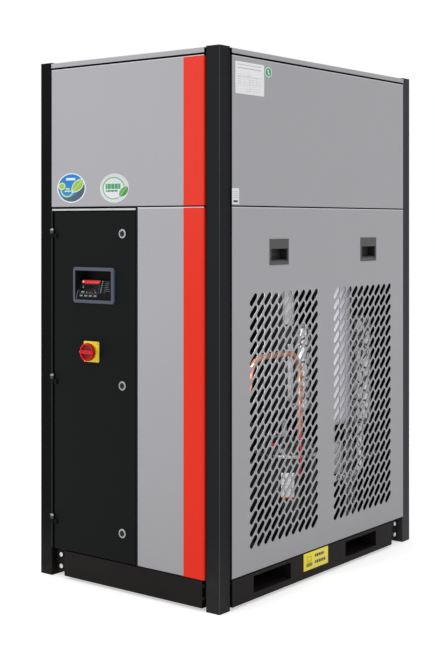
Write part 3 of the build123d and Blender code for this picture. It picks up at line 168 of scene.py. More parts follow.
class Finish:
    """One procedural material, built node by node on object coordinates."""

    def __init__(self, name):
        self.material = bpy.data.materials.new(name)
        self.material.use_nodes = True
        self.tree = self.material.node_tree
        self.tree.nodes.clear()
        self.shader = self.tree.nodes.new("ShaderNodeBsdfPrincipled")
        end = self.tree.nodes.new("ShaderNodeOutputMaterial")
        self.tree.links.new(self.shader.outputs[0], end.inputs[0])
        self.place = self.node("ShaderNodeTexCoord", {}, {}, "Object")

    def feed(self, socket, value):
        """Links a value to a socket, or sets it there."""
        if isinstance(value, Value):
            self.tree.links.new(value.socket, socket)
        elif socket.type == "RGBA":
            socket.default_value = (*value, 1.0)
        else:
            socket.default_value = value

    def node(self, kind, settings, inputs, output=0):
        """Adds a node: settings first, then its sockets, and gives one output."""
        made = self.tree.nodes.new(kind)
        for key, value in settings.items():
            if key == "stops":
                ramp = made.color_ramp
                while len(ramp.elements) < len(value):
                    ramp.elements.new(0.5)
                for element, (where, tone) in zip(ramp.elements, value):
                    element.position = where
                    element.color = (*tone, 1.0)
            else:
                setattr(made, key, value)
        for key, value in inputs.items():
            self.feed(made.inputs[key], value)
        return Value(self, made.outputs[output])

    def math(self, operation, *values, clamp=False):
        settings = {"operation": operation, "use_clamp": clamp}
        return self.node("ShaderNodeMath", settings, dict(enumerate(values)))

    def clamp(self, value):
        return self.math("ADD", value, 0.0, clamp=True)

    def vector(self, operation, *values):
        return self.node("ShaderNodeVectorMath", {"operation": operation}, dict(enumerate(values)))

    def tint(self, hue, amount):
        """A colour made lighter or darker by a value."""
        inputs = {0: hue, "Scale": amount}
        return self.node("ShaderNodeVectorMath", {"operation": "SCALE"}, inputs)

    def mix(self, amount, under, over):
        """One colour over another."""
        settings = {"data_type": "RGBA", "blend_type": "MIX"}
        return self.node("ShaderNodeMix", settings, {0: amount, 6: under, 7: over}, 2)

    def axes(self, middle=(0, 0, 0), size=(1, 1, 1)):
        """Coordinates along X, Y and Z, from a middle and in sizes of the piece."""
        inputs = {"Vector": self.place, "Location": [-m / s for m, s in zip(middle, size)]}
        inputs["Scale"] = [1 / s for s in size]
        placed = self.node("ShaderNodeMapping", {"vector_type": "POINT"}, inputs)
        split = self.tree.nodes.new("ShaderNodeSeparateXYZ")
        self.tree.links.new(placed.socket, split.inputs[0])
        return [Value(self, output) for output in split.outputs]

    def stretched(self, stretch):
        return self.node("ShaderNodeMapping", {}, {"Vector": self.place, "Scale": stretch})

    def noise(self, scale, detail=3.0, rough=0.55, stretch=(1, 1, 1), warp=0.0):
        """Soft noise from 0 to 1; scale is in waves a metre."""
        where = self.place if stretch == (1, 1, 1) else self.stretched(stretch)
        inputs = {"Vector": where, "Scale": scale, "Detail": detail, "Roughness": rough, "Distortion": warp}
        return self.node("ShaderNodeTexNoise", {}, inputs)

    def cells(self, scale, feature="F1", output=0, stretch=(1, 1, 1)):
        """Cell pattern: 0 distance, 1 a colour of each cell."""
        where = self.place if stretch == (1, 1, 1) else self.stretched(stretch)
        inputs = {"Vector": where, "Scale": scale}
        return self.node("ShaderNodeTexVoronoi", {"feature": feature}, inputs, output)

    def shades(self, scale, stretch=(1, 1, 1)):
        """A plain tone for each cell."""
        tone = self.vector("DOT_PRODUCT", self.cells(scale, output=1, stretch=stretch), (0.33, 0.33, 0.33))
        return Value(self, tone.socket.node.outputs["Value"])

    def band(self, value, low, high):
        """1 between two limits, 0 outside."""
        return (value > low) * (value < high)

    def field(self, u, w, across, up):
        """1 inside a rectangle in the u, w plane."""
        return self.band(u, *across) * self.band(w, *up)

    def soft(self, value, low, high):
        """Rises smoothly from 0 at low to 1 at high."""
        inputs = {"Value": value, "From Min": low, "From Max": high}
        return self.node("ShaderNodeMapRange", {"interpolation_type": "SMOOTHSTEP"}, inputs)

    def either(self, first, second):
        return self.math("MAXIMUM", first, second)

    def round(self, u, w, at_u, at_w, radius):
        """1 inside a circle in the u, w plane."""
        return self.math("POWER", u - at_u, 2.0) + self.math("POWER", w - at_w, 2.0) < radius * radius

    def bump(self, height, depth, strength):
        """Relief of a value, its depth in metres, over what is there already."""
        inputs = {"Height": height, "Distance": depth, "Strength": strength}
        normal = self.shader.inputs["Normal"]
        if normal.is_linked:
            inputs["Normal"] = Value(self, normal.links[0].from_socket)
        self.feed(normal, self.node("ShaderNodeBump", {}, inputs))

    def paint(self, base, rough, metal=0.0, **rest):
        self.feed(self.shader.inputs["Base Color"], base)
        self.feed(self.shader.inputs["Roughness"], rough)
        self.feed(self.shader.inputs["Metallic"], metal)
        for key, value in rest.items():
            self.feed(self.shader.inputs[key.replace("_", " ").title().replace("Ior", "IOR")], value)
        return self.material


def coat_skin(f):
    """Relief of a powder coat; gives its grain and its faint clouds."""
    fine = f.noise(900, 2.0, 0.6)
    f.bump(fine, 0.00012, 0.55)
    f.bump(f.noise(160, 2.0, 0.5), 0.00010, 0.25)
    return fine, f.noise(5, 4.0, 0.6)


def moulded_skin(f, pore=1300):
    """Spark-eroded relief of a moulding; gives its grain and its rubbed places."""
    fine = f.cells(pore)
    f.bump(fine, 0.00008, 0.5)
    return fine, f.noise(60, 5.0, 0.7)


def enamel_skin(f):
    """Orange-peel relief of enamel; gives the peel and the runs."""
    peel = f.noise(230, 2.0, 0.5)
    f.bump(peel, 0.00022, 0.5)
    return peel, f.noise(14, 4.0, 0.6, (1, 1, 0.25))


def towards_rear_right(x, y):
    """Place along a level line that runs from the front left to the rear right."""
    return x * 0.79 + y * 0.613


def powder_coat(name, hue, gloss, grain, shine, dust, cloud):
    """Textured powder coat: fine grain, faint clouds, settled dust and rubbed spots."""
    f = Finish(name)
    fine, broad = coat_skin(f)
    rubbed = f.soft(f.noise(34, 5.0, 0.7, (1, 1, 0.35)), 0.60, 0.78)
    x, y, z = f.axes()
    low = f.clamp(1.0 - z / 0.5) * dust * f.noise(16, 5.0, 0.65)
    tone = (broad - 0.5) * 2 * cloud + (fine - 0.5) * grain + 1.0 + rubbed * cloud * 0.6
    coat = f.mix(low, f.tint(hue, tone), (0.36, 0.33, 0.29))
    return f.paint(coat, (fine - 0.5) * 0.16 + (broad - 0.5) * 0.10 + gloss - rubbed * 0.05,
                   specular_ior_level=shine)


def panel_coat(name, hue, bend):
    """Grey coat of the panels: painted highlights along the top folds in front and on the right, and painted
    shade, near-black, on the inner side and the walls of the slots.
    """
    f = Finish(name)
    fine, broad = coat_skin(f)
    speck = f.soft(f.noise(52, 6.0, 0.75), 0.66, 0.74)
    x, y, z = f.axes()
    front = y < span("front_upper_panel")[0].y + bend
    seam = span("front_lower_panel")[1].z
    eaves = span("front_upper_panel")[1].z
    corner = span("top_cover")[1]
    side = x > corner.x - bend
    # painted highlight: light lines along the top folds of the front and right panels, where they catch light
    # from above
    edge_highlight = front * f.soft(z, seam - bend * 1.4, seam - bend) * (z < seam + 0.001)
    edge_highlight = edge_highlight + f.either(front, side) * f.band(z, eaves - bend, eaves) * 0.6
    low = f.clamp(1.0 - z / 0.9)
    sheet, margin = 0.0014, 0.03
    # painted shade: the inner side of the panels and the walls of the slots are coloured near-black, for the
    # shade inside the cabinet
    inner_shade = (abs(x) < corner.x - sheet) * (abs(y) < corner.y - sheet) * (z < corner.z - sheet)
    low_corner, high_corner = span("right_service_panel")
    # painted highlight on the top edge of the right service panel
    edge_highlight = edge_highlight + side * f.band(z, high_corner.z - 0.0034, high_corner.z + 0.0002) * 0.8
    field = (abs(y) < high_corner.y - margin) * f.band(z, low_corner.z + margin, high_corner.z - margin)
    inner_shade = f.either(inner_shade, field * (abs(x) < corner.x - 0.0004))
    tone = (broad - 0.5) * 0.05 + (fine - 0.5) * 0.05 + 1.0 - low * 0.13 - speck * 0.02
    coat = f.mix(low * 0.06, f.tint(hue, tone), (0.36, 0.33, 0.31))
    coat = f.mix(edge_highlight * 0.75, coat, (0.86, 0.86, 0.87))
    # painted shade on the inner side and the slot walls
    coat = f.mix(inner_shade, coat, (0.010, 0.010, 0.011))
    return f.paint(coat, (fine - 0.5) * 0.16 + (broad - 0.5) * 0.10 + 0.44 + inner_shade * 0.4,
                   specular_ior_level=0.30)


def surround_coat(name, hue):
    """Black coat of the door surround; its head strip is coloured light grey and partly metallic, a painted
    highlight where the top edge catches light from above.
    """
    f = Finish(name)
    fine = f.noise(760, 2.0, 0.65)
    drawn = f.noise(60, 4.0, 0.7, (0.15, 1, 1))
    x, y, z = f.axes()
    low, high = span("door_frame")
    # painted highlight: the head strip of the surround is light grey, for its top edge catching light from
    # above
    head = f.band(z, high.z - 0.0056, high.z) * (x < high.x - 0.0045) * (x > low.x + 0.0045)
    f.bump(fine, 0.0002, 0.6)
    head_highlight = f.tint((0.55, 0.55, 0.56), drawn * 0.9 + 0.5)
    return f.paint(f.mix(head, f.tint(hue, fine * 0.6 + 0.7), head_highlight), (fine - 0.5) * 0.2 + 0.5 - head * 0.12,
                   head * 0.25, specular_ior_level=0.15)


def hinge_coat(name, hue):
    """Black hinge halves; the ends of their pins are light grey and partly metallic: unpainted pin metal with
    a painted highlight.
    """
    f = Finish(name)
    fine = f.noise(800, 2.0, 0.6)
    stain = f.noise(90, 4.0, 0.7)
    low = span("frame_hinges")[0]
    x, y, z = f.axes()
    # painted highlight: light grey bands at the pin ends, where small highlights show
    first, second, third = [f.band(abs(z - middle), 0.0095, 0.0180) for middle in hinge_middles()]
    ends = f.either(first, f.either(second, third))
    near = y < low.y + 0.0075
    f.bump(fine, 0.00012, 0.5)
    hue = f.mix(ends * near * 0.8, f.tint(hue, stain * 0.5 + 0.75), (0.40, 0.40, 0.43))
    return f.paint(hue, stain * 0.2 + 0.24, ends * near * 0.7, specular_ior_level=0.4)


def hinge_middles():
    """Heights of the hinges: one at each end of the row, and one between them."""
    low, high = span("door_knuckles")
    first = low.z + 0.014
    last = high.z + 0.00015
    return first, (first + last) / 2 - 0.0085, last


def bezel_shell(name, hue):
    """Grained bezel border; the recess inside the border is near-black and matt, painted shade."""
    f = Finish(name)
    fine, rub = moulded_skin(f)
    broad = f.noise(22, 4.0, 0.6)
    rub = f.soft(rub, 0.55, 0.72)
    low, high = span("controller_bezel")
    middle = (low + high) / 2
    x, y, z = f.axes((middle.x, 0, middle.z))
    border = 0.0106
    # painted shade: the recess inside the bezel border is coloured near-black
    hood_shade = (abs(x) < (high.x - low.x) / 2 - border) * (abs(z) < (high.z - low.z) / 2 - border)
    tone = (broad - 0.5) * 0.14 + (fine - 0.4) * 0.12 + 1.0 + rub * 0.10
    coat = f.mix(hood_shade, f.tint(hue, tone), (0.0016, 0.0017, 0.0020))
    return f.paint(coat, (broad - 0.5) * 0.14 + 0.36 + hood_shade * 0.4, specular_ior_level=0.25)


def post_coat(name, hue):
    """Black coat of the posts, with a painted highlight line down the outer corners, and painted light and
    shade that make the posts on the right lighter, the rear right one most, and the left ones darker.
    """
    f = Finish(name)
    fine = f.noise(760, 2.0, 0.65)
    broad = f.noise(4, 4.0, 0.6, (1, 1, 0.4))
    x, y, z = f.axes()
    high = span("corner_posts")[1]
    # painted highlight: a faint light line down the outer corners of the posts
    edge = (abs(x) > high.x - 0.0022) * (abs(y) > high.y - 0.0022)
    edge_highlight = edge * (f.noise(55, 6.0, 0.75) * 0.5 + 0.35)
    scuff = f.soft(f.noise(26, 6.0, 0.75, (1, 1, 0.2)), 0.62, 0.74) * f.clamp(1.15 - z)
    dust = f.clamp(1.0 - z / 0.22) * f.noise(30, 5.0, 0.65) * 0.10
    # painted light and shade: the right posts are lighter, most on the rear right, and the left posts darker
    right = f.soft(x, -0.25, 0.25)
    side_light = right * 1.75 + right * f.soft(y, -0.2, 0.4) * 3.9 + 0.20
    tone = ((broad - 0.5) * 0.30 + (fine - 0.5) * 0.50 + 1.0 + scuff * 0.9) * side_light
    coat = f.mix(edge_highlight * 0.35, f.tint(hue, tone), (0.20, 0.21, 0.22))
    coat = f.mix(dust, coat, (0.30, 0.27, 0.24))
    f.bump(fine, 0.00025, 0.7)
    f.bump(f.cells(520), 0.00012, 0.35)
    return f.paint(coat, (fine - 0.5) * 0.22 + 0.50 - scuff * 0.08, specular_ior_level=0.045)


def moulded(name, hue, gloss=0.38, grain=0.08, shine=0.4, pore=1300):
    """Moulded plastic with a spark-eroded grain and faint handling marks."""
    f = Finish(name)
    fine, rub = moulded_skin(f, pore)
    broad = f.noise(22, 4.0, 0.6)
    rub = f.soft(rub, 0.58, 0.72)
    tone = (broad - 0.5) * 0.12 + (fine - 0.4) * grain + 1.0 + rub * 0.05
    return f.paint(f.tint(hue, tone), (broad - 0.5) * 0.14 + gloss - rub * 0.07, specular_ior_level=shine)


def handle_coat(name, hue):
    """Red moulding of the rotary handle: rim and bar lighter than the handle red, a painted highlight with
    rubbed marks, and painted shade in the two recesses beside the bar.
    """
    f = Finish(name)
    rub = moulded_skin(f)[1]
    low, high = span("switch_knob")
    middle = (low + high) / 2
    radius = (high.z - low.z) / 2
    x, y, z = f.axes((middle.x, 0, middle.z), (radius, 1, radius))
    # painted shade: dark red in the two recesses beside the bar
    hollow_shade = f.round(x, z, 0, 0, 0.72) * (1.0 - f.band(z, -0.22, 0.22))
    # painted highlight: the rim and bar are lighter than the handle red
    bright = f.tint(hue, rub * 0.35 + 1.15)
    return f.paint(f.mix(hollow_shade * 0.85, bright, f.tint((0.11, 0.003, 0.004), rub * 0.6 + 0.7)),
                   rub * 0.2 + 0.26, specular_ior_level=0.22)


def pocket_coat(name, hue):
    """Grey moulding of the pull pockets, with painted shade in the recess that the fingers reach into."""
    f = Finish(name)
    fine, rub = moulded_skin(f)
    x, y, z = f.axes()
    # painted shade: the recess of the pocket is darker
    hollow_shade = abs(x) < span("right_pull_pockets")[1].x - 0.0045
    tone = (fine - 0.4) * 0.15 + rub * 0.10 + 0.95 - hollow_shade * 0.66
    return f.paint(f.tint(hue, tone), rub * 0.14 + 0.38, specular_ior_level=0.25)


def galvanised(name, hue):
    """Zinc with its crystal spangle."""
    f = Finish(name)
    tone = f.shades(70)
    smear = f.noise(8, 5.0, 0.65)
    f.bump(tone, 0.00005, 0.4)
    return f.paint(f.tint(hue, tone * 0.30 + smear * 0.28 + 0.66), tone * 0.22 + smear * 0.15 + 0.24, 1.0)


def polished(name, hue, gloss):
    """Bright plated metal with fine scratches."""
    f = Finish(name)
    scratch = f.noise(120, 6.0, 0.8, (1, 1, 9))
    dull = f.noise(40, 4.0, 0.6)
    f.bump(scratch, 0.00003, 0.3)
    return f.paint(f.tint(hue, dull * 0.18 + 0.88), scratch * 0.16 + dull * 0.10 + gloss - 0.08, 1.0)


def creased(f, scale, stretch):
    """Patches of hand-pressed foil: a tone for each patch, a painted reflection of its facet, and a mask of
    the creases between them, which the callers darken as painted shade.
    """
    crease = 1.0 - f.soft(f.cells(scale, "DISTANCE_TO_EDGE", stretch=stretch), 0.02, 0.13)
    return f.shades(scale, stretch), crease


def drawn_copper(name):
    """Drawn copper tube with tarnish and heat marks; foil round its cold run, foam over its riser."""
    f = Finish(name)
    tarnish = f.noise(18, 5.0, 0.7)
    streak = f.noise(70, 4.0, 0.7, (1, 1, 0.12))
    spots = f.soft(f.noise(90, 4.0, 0.7), 0.60, 0.70)
    x, y, z = f.axes()
    heat = f.either(f.clamp(1.0 - abs(z - 0.418) / 0.030), f.clamp(1.0 - abs(z - 0.790) / 0.016))
    hue = f.mix(f.soft(tarnish, 0.35, 0.68), (0.90, 0.40, 0.22), (0.66, 0.27, 0.15))
    hue = f.mix(spots * 0.5, hue, (0.19, 0.10, 0.07))
    hue = f.mix(heat * 0.75, hue, (0.10, 0.07, 0.06))
    vessel = span("accumulator")
    foil = (y > 0.150) * (z < 0.430)
    sleeve = (y > vessel[0].y) * (z > vessel[1].z - 0.010)
    patch, crease = creased(f, 44, (1, 1, 0.6))
    pore = f.cells(620)
    # painted reflection and shade on the foil: a tone for each patch, and near-black creases
    hue = f.mix(foil, hue, f.tint((0.90, 0.90, 0.91), (patch * 0.4 + 0.85) * (1.0 - crease * 0.93)))
    hue = f.mix(sleeve, hue, f.tint((0.014, 0.014, 0.015), pore * 0.4 + 0.8))
    f.bump(streak, 0.00006, 0.3)
    f.bump((1.0 - crease) * foil, 0.0016, 0.6)
    f.bump(pore * sleeve, 0.0003, 0.5)
    metal = 0.80 - heat * 0.3 - sleeve * 0.80 - foil * 0.50
    return f.paint(hue, tarnish * 0.28 + streak * 0.10 + 0.14 + sleeve * 0.5, metal)


def crumpled_foil(name, taped=False):
    """Foil tape wrapped by hand, with sharp creases; a pipe beside it has foam with tape along its seam."""
    f = Finish(name)
    patch, crease = creased(f, 34, (1, 1, 0.7))
    small = f.cells(95, "DISTANCE_TO_EDGE", stretch=(1, 1, 1.3))
    fold = f.noise(30, 5.0, 0.7, warp=1.2)
    x, y, z = f.axes()
    seam = f.soft(f.math("FRACT", (z + x * 0.22 + y * 0.15) / 0.052), 0.0, 0.05)
    if taped:
        smooth = y < span("moisture_separator")[1].y - 0.0745
        seam_side = abs(towards_rear_right(x, y) - 0.185)
        low_run = z < 0.700
        tape = f.either((z > 0.765) * f.either(seam_side < 0.013, y < 0.095), low_run * (seam_side < 0.009))
        foam = smooth * (1.0 - tape)
        rough = 1.0 - smooth
    else:
        foam = 0.0
        rough = 1.0 - f.soft(f.noise(3, 2.0), 0.80, 0.90)
    f.bump((1.0 - crease) * rough, 0.004, 0.6)
    f.bump(small * rough, 0.0016, 0.5)
    f.bump(fold * rough, 0.004, 0.6)
    f.bump(seam, 0.0006, 0.6)
    # painted light: the foil is lighter below a height of 0.72 m
    tone = f.clamp(patch * 0.40 + fold * 0.4 + seam * 0.06 + 0.50 + f.clamp((0.72 - z) * 3.0) * 0.30)
    # painted shade in the creases, and painted reflection in the patch tones
    hue = f.tint((0.92, 0.93, 0.93), tone * (1.0 - crease * 0.94))
    if taped:
        strip = f.tint((0.50, 0.48, 0.495), fold * 0.3 + low_run * 0.32 + 0.46)
        hue = f.mix(smooth, hue, f.mix(tape, (0.012, 0.012, 0.013), strip))
    return f.paint(hue, fold * 0.26 + 0.44 - rough * 0.22 + foam * 0.30, rough * 0.40)


def pressed_fins(name):
    """Condenser face: thin upright fins over rows of tube, with grey dust in them."""
    f = Finish(name)
    x, y, z = f.axes()
    fin = f.math("SINE", y * (2 * math.pi / 0.0024))
    row = f.math("SINE", z * (2 * math.pi / 0.0254))
    bent = f.noise(26, 4.0, 0.6, (1, 1.4, 0.5))
    dust = f.soft(f.noise(7, 5.0, 0.65), 0.40, 0.75)
    f.bump(fin, 0.0006, 0.6)
    f.bump(row, 0.0005, 0.3)
    tone = fin * 0.16 + f.clamp(row) * 0.08 + bent * 0.20 + 0.42
    hue = f.mix(dust * 0.45, f.tint((0.62, 0.63, 0.66), tone), (0.16, 0.15, 0.14))
    return f.paint(hue, bent * 0.2 + 0.36, 0.85 - dust * 0.4)


def enamel(name, hue, gloss=0.28, chips=0.0):
    """Glossy enamel with an orange-peel surface, runs and a few chips."""
    f = Finish(name)
    peel, run = enamel_skin(f)
    chip = f.soft(f.noise(75, 6.0, 0.8), 0.66, 0.70) * chips
    coat = f.mix(chip, f.tint(hue, (run - 0.5) * 0.16 + (peel - 0.5) * 0.06 + 1.0), (0.22, 0.20, 0.19))
    return f.paint(coat, peel * 0.10 + (run - 0.5) * 0.12 + gloss, specular_ior_level=0.45)


def bowl_coat(name, hue):
    """Glossy enamel: pale on the outer side of the bowl by the service panel; near-black elsewhere, painted
    shade on the bowl's far side.
    """
    f = Finish(name)
    peel, run = enamel_skin(f)
    x, y, z = f.axes()
    pale = f.tint(hue, (run - 0.5) * 0.16 + (peel - 0.5) * 0.06 + 1.0)
    # painted shade: the bowl is near-black away from the service panel
    coat = f.mix(towards_rear_right(x, y) > 0.291, (0.010, 0.010, 0.011), pale)
    return f.paint(coat, peel * 0.10 + (run - 0.5) * 0.12 + 0.36, specular_ior_level=0.08)


def foam_sheet(name, hue):
    """Closed-cell foam with fine pores and glued seams."""
    f = Finish(name)
    pore = f.cells(620)
    soft = f.noise(11, 4.0, 0.6)
    x, y, z = f.axes()
    seam = f.either(f.band(f.math("FRACT", y / 0.30), 0.0, 0.008),
                    f.band(f.math("FRACT", z / 0.21), 0.0, 0.010))
    f.bump(pore, 0.0004, 0.6)
    f.bump(1.0 - seam, 0.0008, 0.8)
    tone = pore * 0.30 + soft * 0.45 + 0.60 - seam * 0.5
    return f.paint(f.tint(hue, tone), 0.80 - soft * 0.12, specular_ior_level=0.2)


def sand_cast(name, hue):
    """Cast metal with a sandy skin and dark settled grime."""
    f = Finish(name)
    sand = f.noise(480, 3.0, 0.7)
    lumps = f.cells(130)
    grime = f.soft(f.noise(17, 5.0, 0.7), 0.45, 0.72)
    f.bump(sand, 0.0003, 0.6)
    f.bump(lumps, 0.0004, 0.3)
    cast = f.mix(grime * 0.45, f.tint(hue, sand * 0.30 + 0.78), (0.12, 0.12, 0.12))
    return f.paint(cast, sand * 0.2 + 0.34, 0.8 - grime * 0.3)


def drawn_steel(name, hue):
    """Zinc-plated pipe with lengthwise draw marks, yellowish stains and a cut thread near its end."""
    f = Finish(name)
    draw = f.noise(160, 4.0, 0.7, (1, 0.05, 1))
    stain = f.soft(f.noise(13, 5.0, 0.65), 0.45, 0.75)
    x, y, z = f.axes()
    thread = f.math("SINE", y * (2 * math.pi / 0.0023)) * (y > span("air_pipes")[1].y - 0.026)
    f.bump(draw, 0.00008, 0.4)
    f.bump(thread, 0.0007, 0.8)
    hue = f.mix(stain * 0.35, f.tint(hue, draw * 0.25 + 0.80), (0.40, 0.35, 0.24))
    return f.paint(hue, draw * 0.18 + stain * 0.14 + 0.22, 0.95)


def soft_rubber(name, hue):
    """Moulded rubber with a bloom and fine pits."""
    f = Finish(name)
    pit = f.noise(700, 3.0, 0.6)
    bloom = f.soft(f.noise(28, 5.0, 0.65), 0.45, 0.75)
    f.bump(pit, 0.0002, 0.6)
    return f.paint(f.mix(bloom * 0.30, f.tint(hue, pit * 0.4 + 0.8), (0.10, 0.10, 0.10)), 0.78 - bloom * 0.1,
                   specular_ior_level=0.25)


def vinyl(name, hue, gloss=0.30, shine=0.35):
    """Cut vinyl film: even colour, a faint weave of scratches and soft waves from laying."""
    f = Finish(name)
    wave = f.noise(9, 3.0, 0.5, (1, 1, 0.5))
    scratch = f.noise(210, 6.0, 0.8, (1, 1, 0.06))
    lint = f.soft(f.noise(420, 3.0, 0.7), 0.70, 0.78)
    f.bump(wave, 0.0008, 0.25)
    f.bump(scratch, 0.00003, 0.3)
    tone = (wave - 0.5) * 0.05 + (scratch - 0.5) * 0.03 + 1.0 - lint * 0.05
    return f.paint(f.tint(hue, tone), scratch * 0.12 + wave * 0.08 + gloss - 0.08, specular_ior_level=shine)


def printed(f, picture):
    """Ends a printed label: the picture under a clear film with fine wear."""
    wear = f.noise(160, 5.0, 0.75)
    film = f.noise(14, 3.0, 0.5)
    f.bump(film, 0.0006, 0.2)
    f.bump(wear, 0.00003, 0.3)
    return f.paint(f.tint(picture, (wear - 0.5) * 0.05 + 1.0), wear * 0.10 + film * 0.08 + 0.22,
                   specular_ior_level=0.35)


# ---------------------------------------------------------------- modelling by hand
def deselect():
    bpy.ops.object.select_all(action="DESELECT")


def alone(piece):
    """Makes one piece the only one selected, and active."""
    deselect()
    piece.select_set(True)
    bpy.context.view_layer.objects.active = piece


def take(name):
    """Names the new primitive and puts its place into its mesh."""
    piece = bpy.context.object
    piece.name = name
    piece.data.name = name
    bpy.ops.object.transform_apply(location=True, rotation=True, scale=True)
    return piece


def block(name, low, high):
    """A block between two corners."""
    deselect()
    size = [b - a for a, b in zip(low, high)]
    middle = [(a + b) / 2 for a, b in zip(low, high)]
    bpy.ops.mesh.primitive_cube_add(size=1, location=middle, scale=size)
    return take(name)


TURNS = {"X": (0, math.pi / 2, 0), "Y": (math.pi / 2, 0, 0), "Z": (0, 0, 0)}


def drum(name, middle, radius, depth, axis, sides=48):
    """A cylinder along an axis."""
    deselect()
    bpy.ops.mesh.primitive_cylinder_add(
        vertices=sides, radius=radius, depth=depth, location=middle, rotation=TURNS[axis]
    )
    return take(name)


def hoop(name, middle, radius, wire, axis, sides, around):
    """A ring of round wire."""
    deselect()
    bpy.ops.mesh.primitive_torus_add(
        location=middle, rotation=TURNS[axis], major_radius=radius, minor_radius=wire,
        major_segments=sides, minor_segments=around,
    )
    return take(name)


def enter(piece):
    alone(piece)
    bpy.ops.object.mode_set(mode="EDIT")
    bpy.ops.mesh.select_all(action="DESELECT")


def leave():
    bpy.ops.object.mode_set(mode="OBJECT")


def choose(kind, test):
    """In edit mode, selects only what passes a test."""
    bpy.ops.mesh.select_mode(type=kind)
    bpy.ops.mesh.select_all(action="DESELECT")
    mesh = bmesh.from_edit_mesh(bpy.context.object.data)
    mesh.normal_update()
    parts = {"VERT": mesh.verts, "EDGE": mesh.edges, "FACE": mesh.faces}[kind]
    for part in parts:
        if test(part):
            part.select_set(True)
    mesh.select_flush_mode()
    bmesh.update_edit_mesh(bpy.context.object.data)


def facing(direction, limit=0.9):
    """Test for faces that look in a direction."""
    way = Vector(direction)
    return lambda face: face.normal.dot(way) > limit


def along(direction):
    """Test for edges that run along a direction."""
    way = Vector(direction)

    def test(edge):
        run = edge.verts[1].co - edge.verts[0].co
        return run.length > 1e-7 and abs(run.normalized().dot(way)) > 0.999

    return test


def rim(direction):
    """Test for the edges round the faces that look in a direction."""
    look = facing(direction)
    return lambda edge: sum(1 for face in edge.link_faces if look(face)) == 1


def everything():
    """In edit mode, selects the whole piece."""
    choose("VERT", lambda vert: True)


def thicken(piece, thickness, offset):
    """Gives an open shell its wall."""
    wall = piece.modifiers.new("wall", "SOLIDIFY")
    wall.thickness = thickness
    wall.offset = offset
    alone(piece)
    bpy.ops.object.modifier_apply(modifier="wall")


def round_off(width, steps=3):
    bpy.ops.mesh.bevel(offset=width, segments=steps, profile=0.5, affect="EDGES")


def done(piece, finish, body, angle=35):
    """Shades a finished piece, gives it its finish and lets it ride on a body."""
    alone(piece)
    bpy.ops.object.shade_smooth_by_angle(angle=math.radians(angle))
    piece.data.materials.clear()
    piece.data.materials.append(finish)
    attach(piece, body)
    return piece


def joined(name, pieces):
    """Several pieces of one kind made one."""
    deselect()
    for piece in pieces:
        piece.select_set(True)
    bpy.context.view_layer.objects.active = pieces[0]
    if len(pieces) > 1:
        bpy.ops.object.join()
    pieces[0].name = pieces[0].data.name = name
    return pieces[0]


def repeated(name, piece, places):
    """Copies of a piece, each moved, joined into one with it."""
    made = [piece]
    for step in places:
        alone(piece)
        bpy.ops.object.duplicate()
        bpy.ops.transform.translate(value=step)
        bpy.ops.object.transform_apply(location=True, rotation=True, scale=True)
        made.append(bpy.context.object)
    return joined(name, made)


def film(name, low, high, outward, corner):
    """A thin film or plate with rounded corners and a soft outer edge."""
    axis = [abs(value) for value in outward]
    piece = block(name, low, high)
    thickness = sum((b - a) * c for a, b, c in zip(low, high, axis))
    enter(piece)
    choose("EDGE", along(axis))
    round_off(corner, 6)
    choose("EDGE", rim(outward))
    round_off(thickness * 0.35, 2)
    leave()
    return piece


def oval(name, middle, width, height, thickness, inset):
    """An oval film on the front face, with a raised rim line round its print."""
    piece = drum(name, middle, 0.5, thickness, "Y", 72)
    enter(piece)
    everything()
    bpy.ops.transform.resize(value=(width, 1, height), center_override=middle)
    choose("FACE", facing((0, -1, 0)))
    bpy.ops.mesh.inset(thickness=inset, depth=0)
    bpy.ops.mesh.inset(thickness=inset * 0.12, depth=-thickness * 0.25)
    choose("EDGE", lambda edge: len(edge.link_faces) == 2 and edge.calc_face_angle(0) > 1.0)
    round_off(thickness * 0.3, 2)
    leave()
    return piece


def wire(name, points, radius):
    """A round lead along a smooth line of five or more points, made a mesh with closed ends."""
    deselect()
    bpy.ops.curve.primitive_nurbs_path_add()
    line = bpy.context.object
    line.name = name
    spline = line.data.splines[0]
    spline.points.add(len(points) - len(spline.points))
    for point, place in zip(spline.points, points):
        point.co = (*place, 1.0)
    spline.order_u = 3
    spline.use_endpoint_u = True
    spline.resolution_u = 6
    line.location = (0, 0, 0)
    line.data.dimensions = "3D"
    line.data.bevel_depth = radius
    line.data.bevel_resolution = 3
    line.data.use_fill_caps = True
    alone(line)
    bpy.ops.object.convert(target="MESH")
    piece = bpy.context.object
    piece.name = piece.data.name = name
    bpy.ops.object.transform_apply(location=True, rotation=True, scale=True)
    return piece


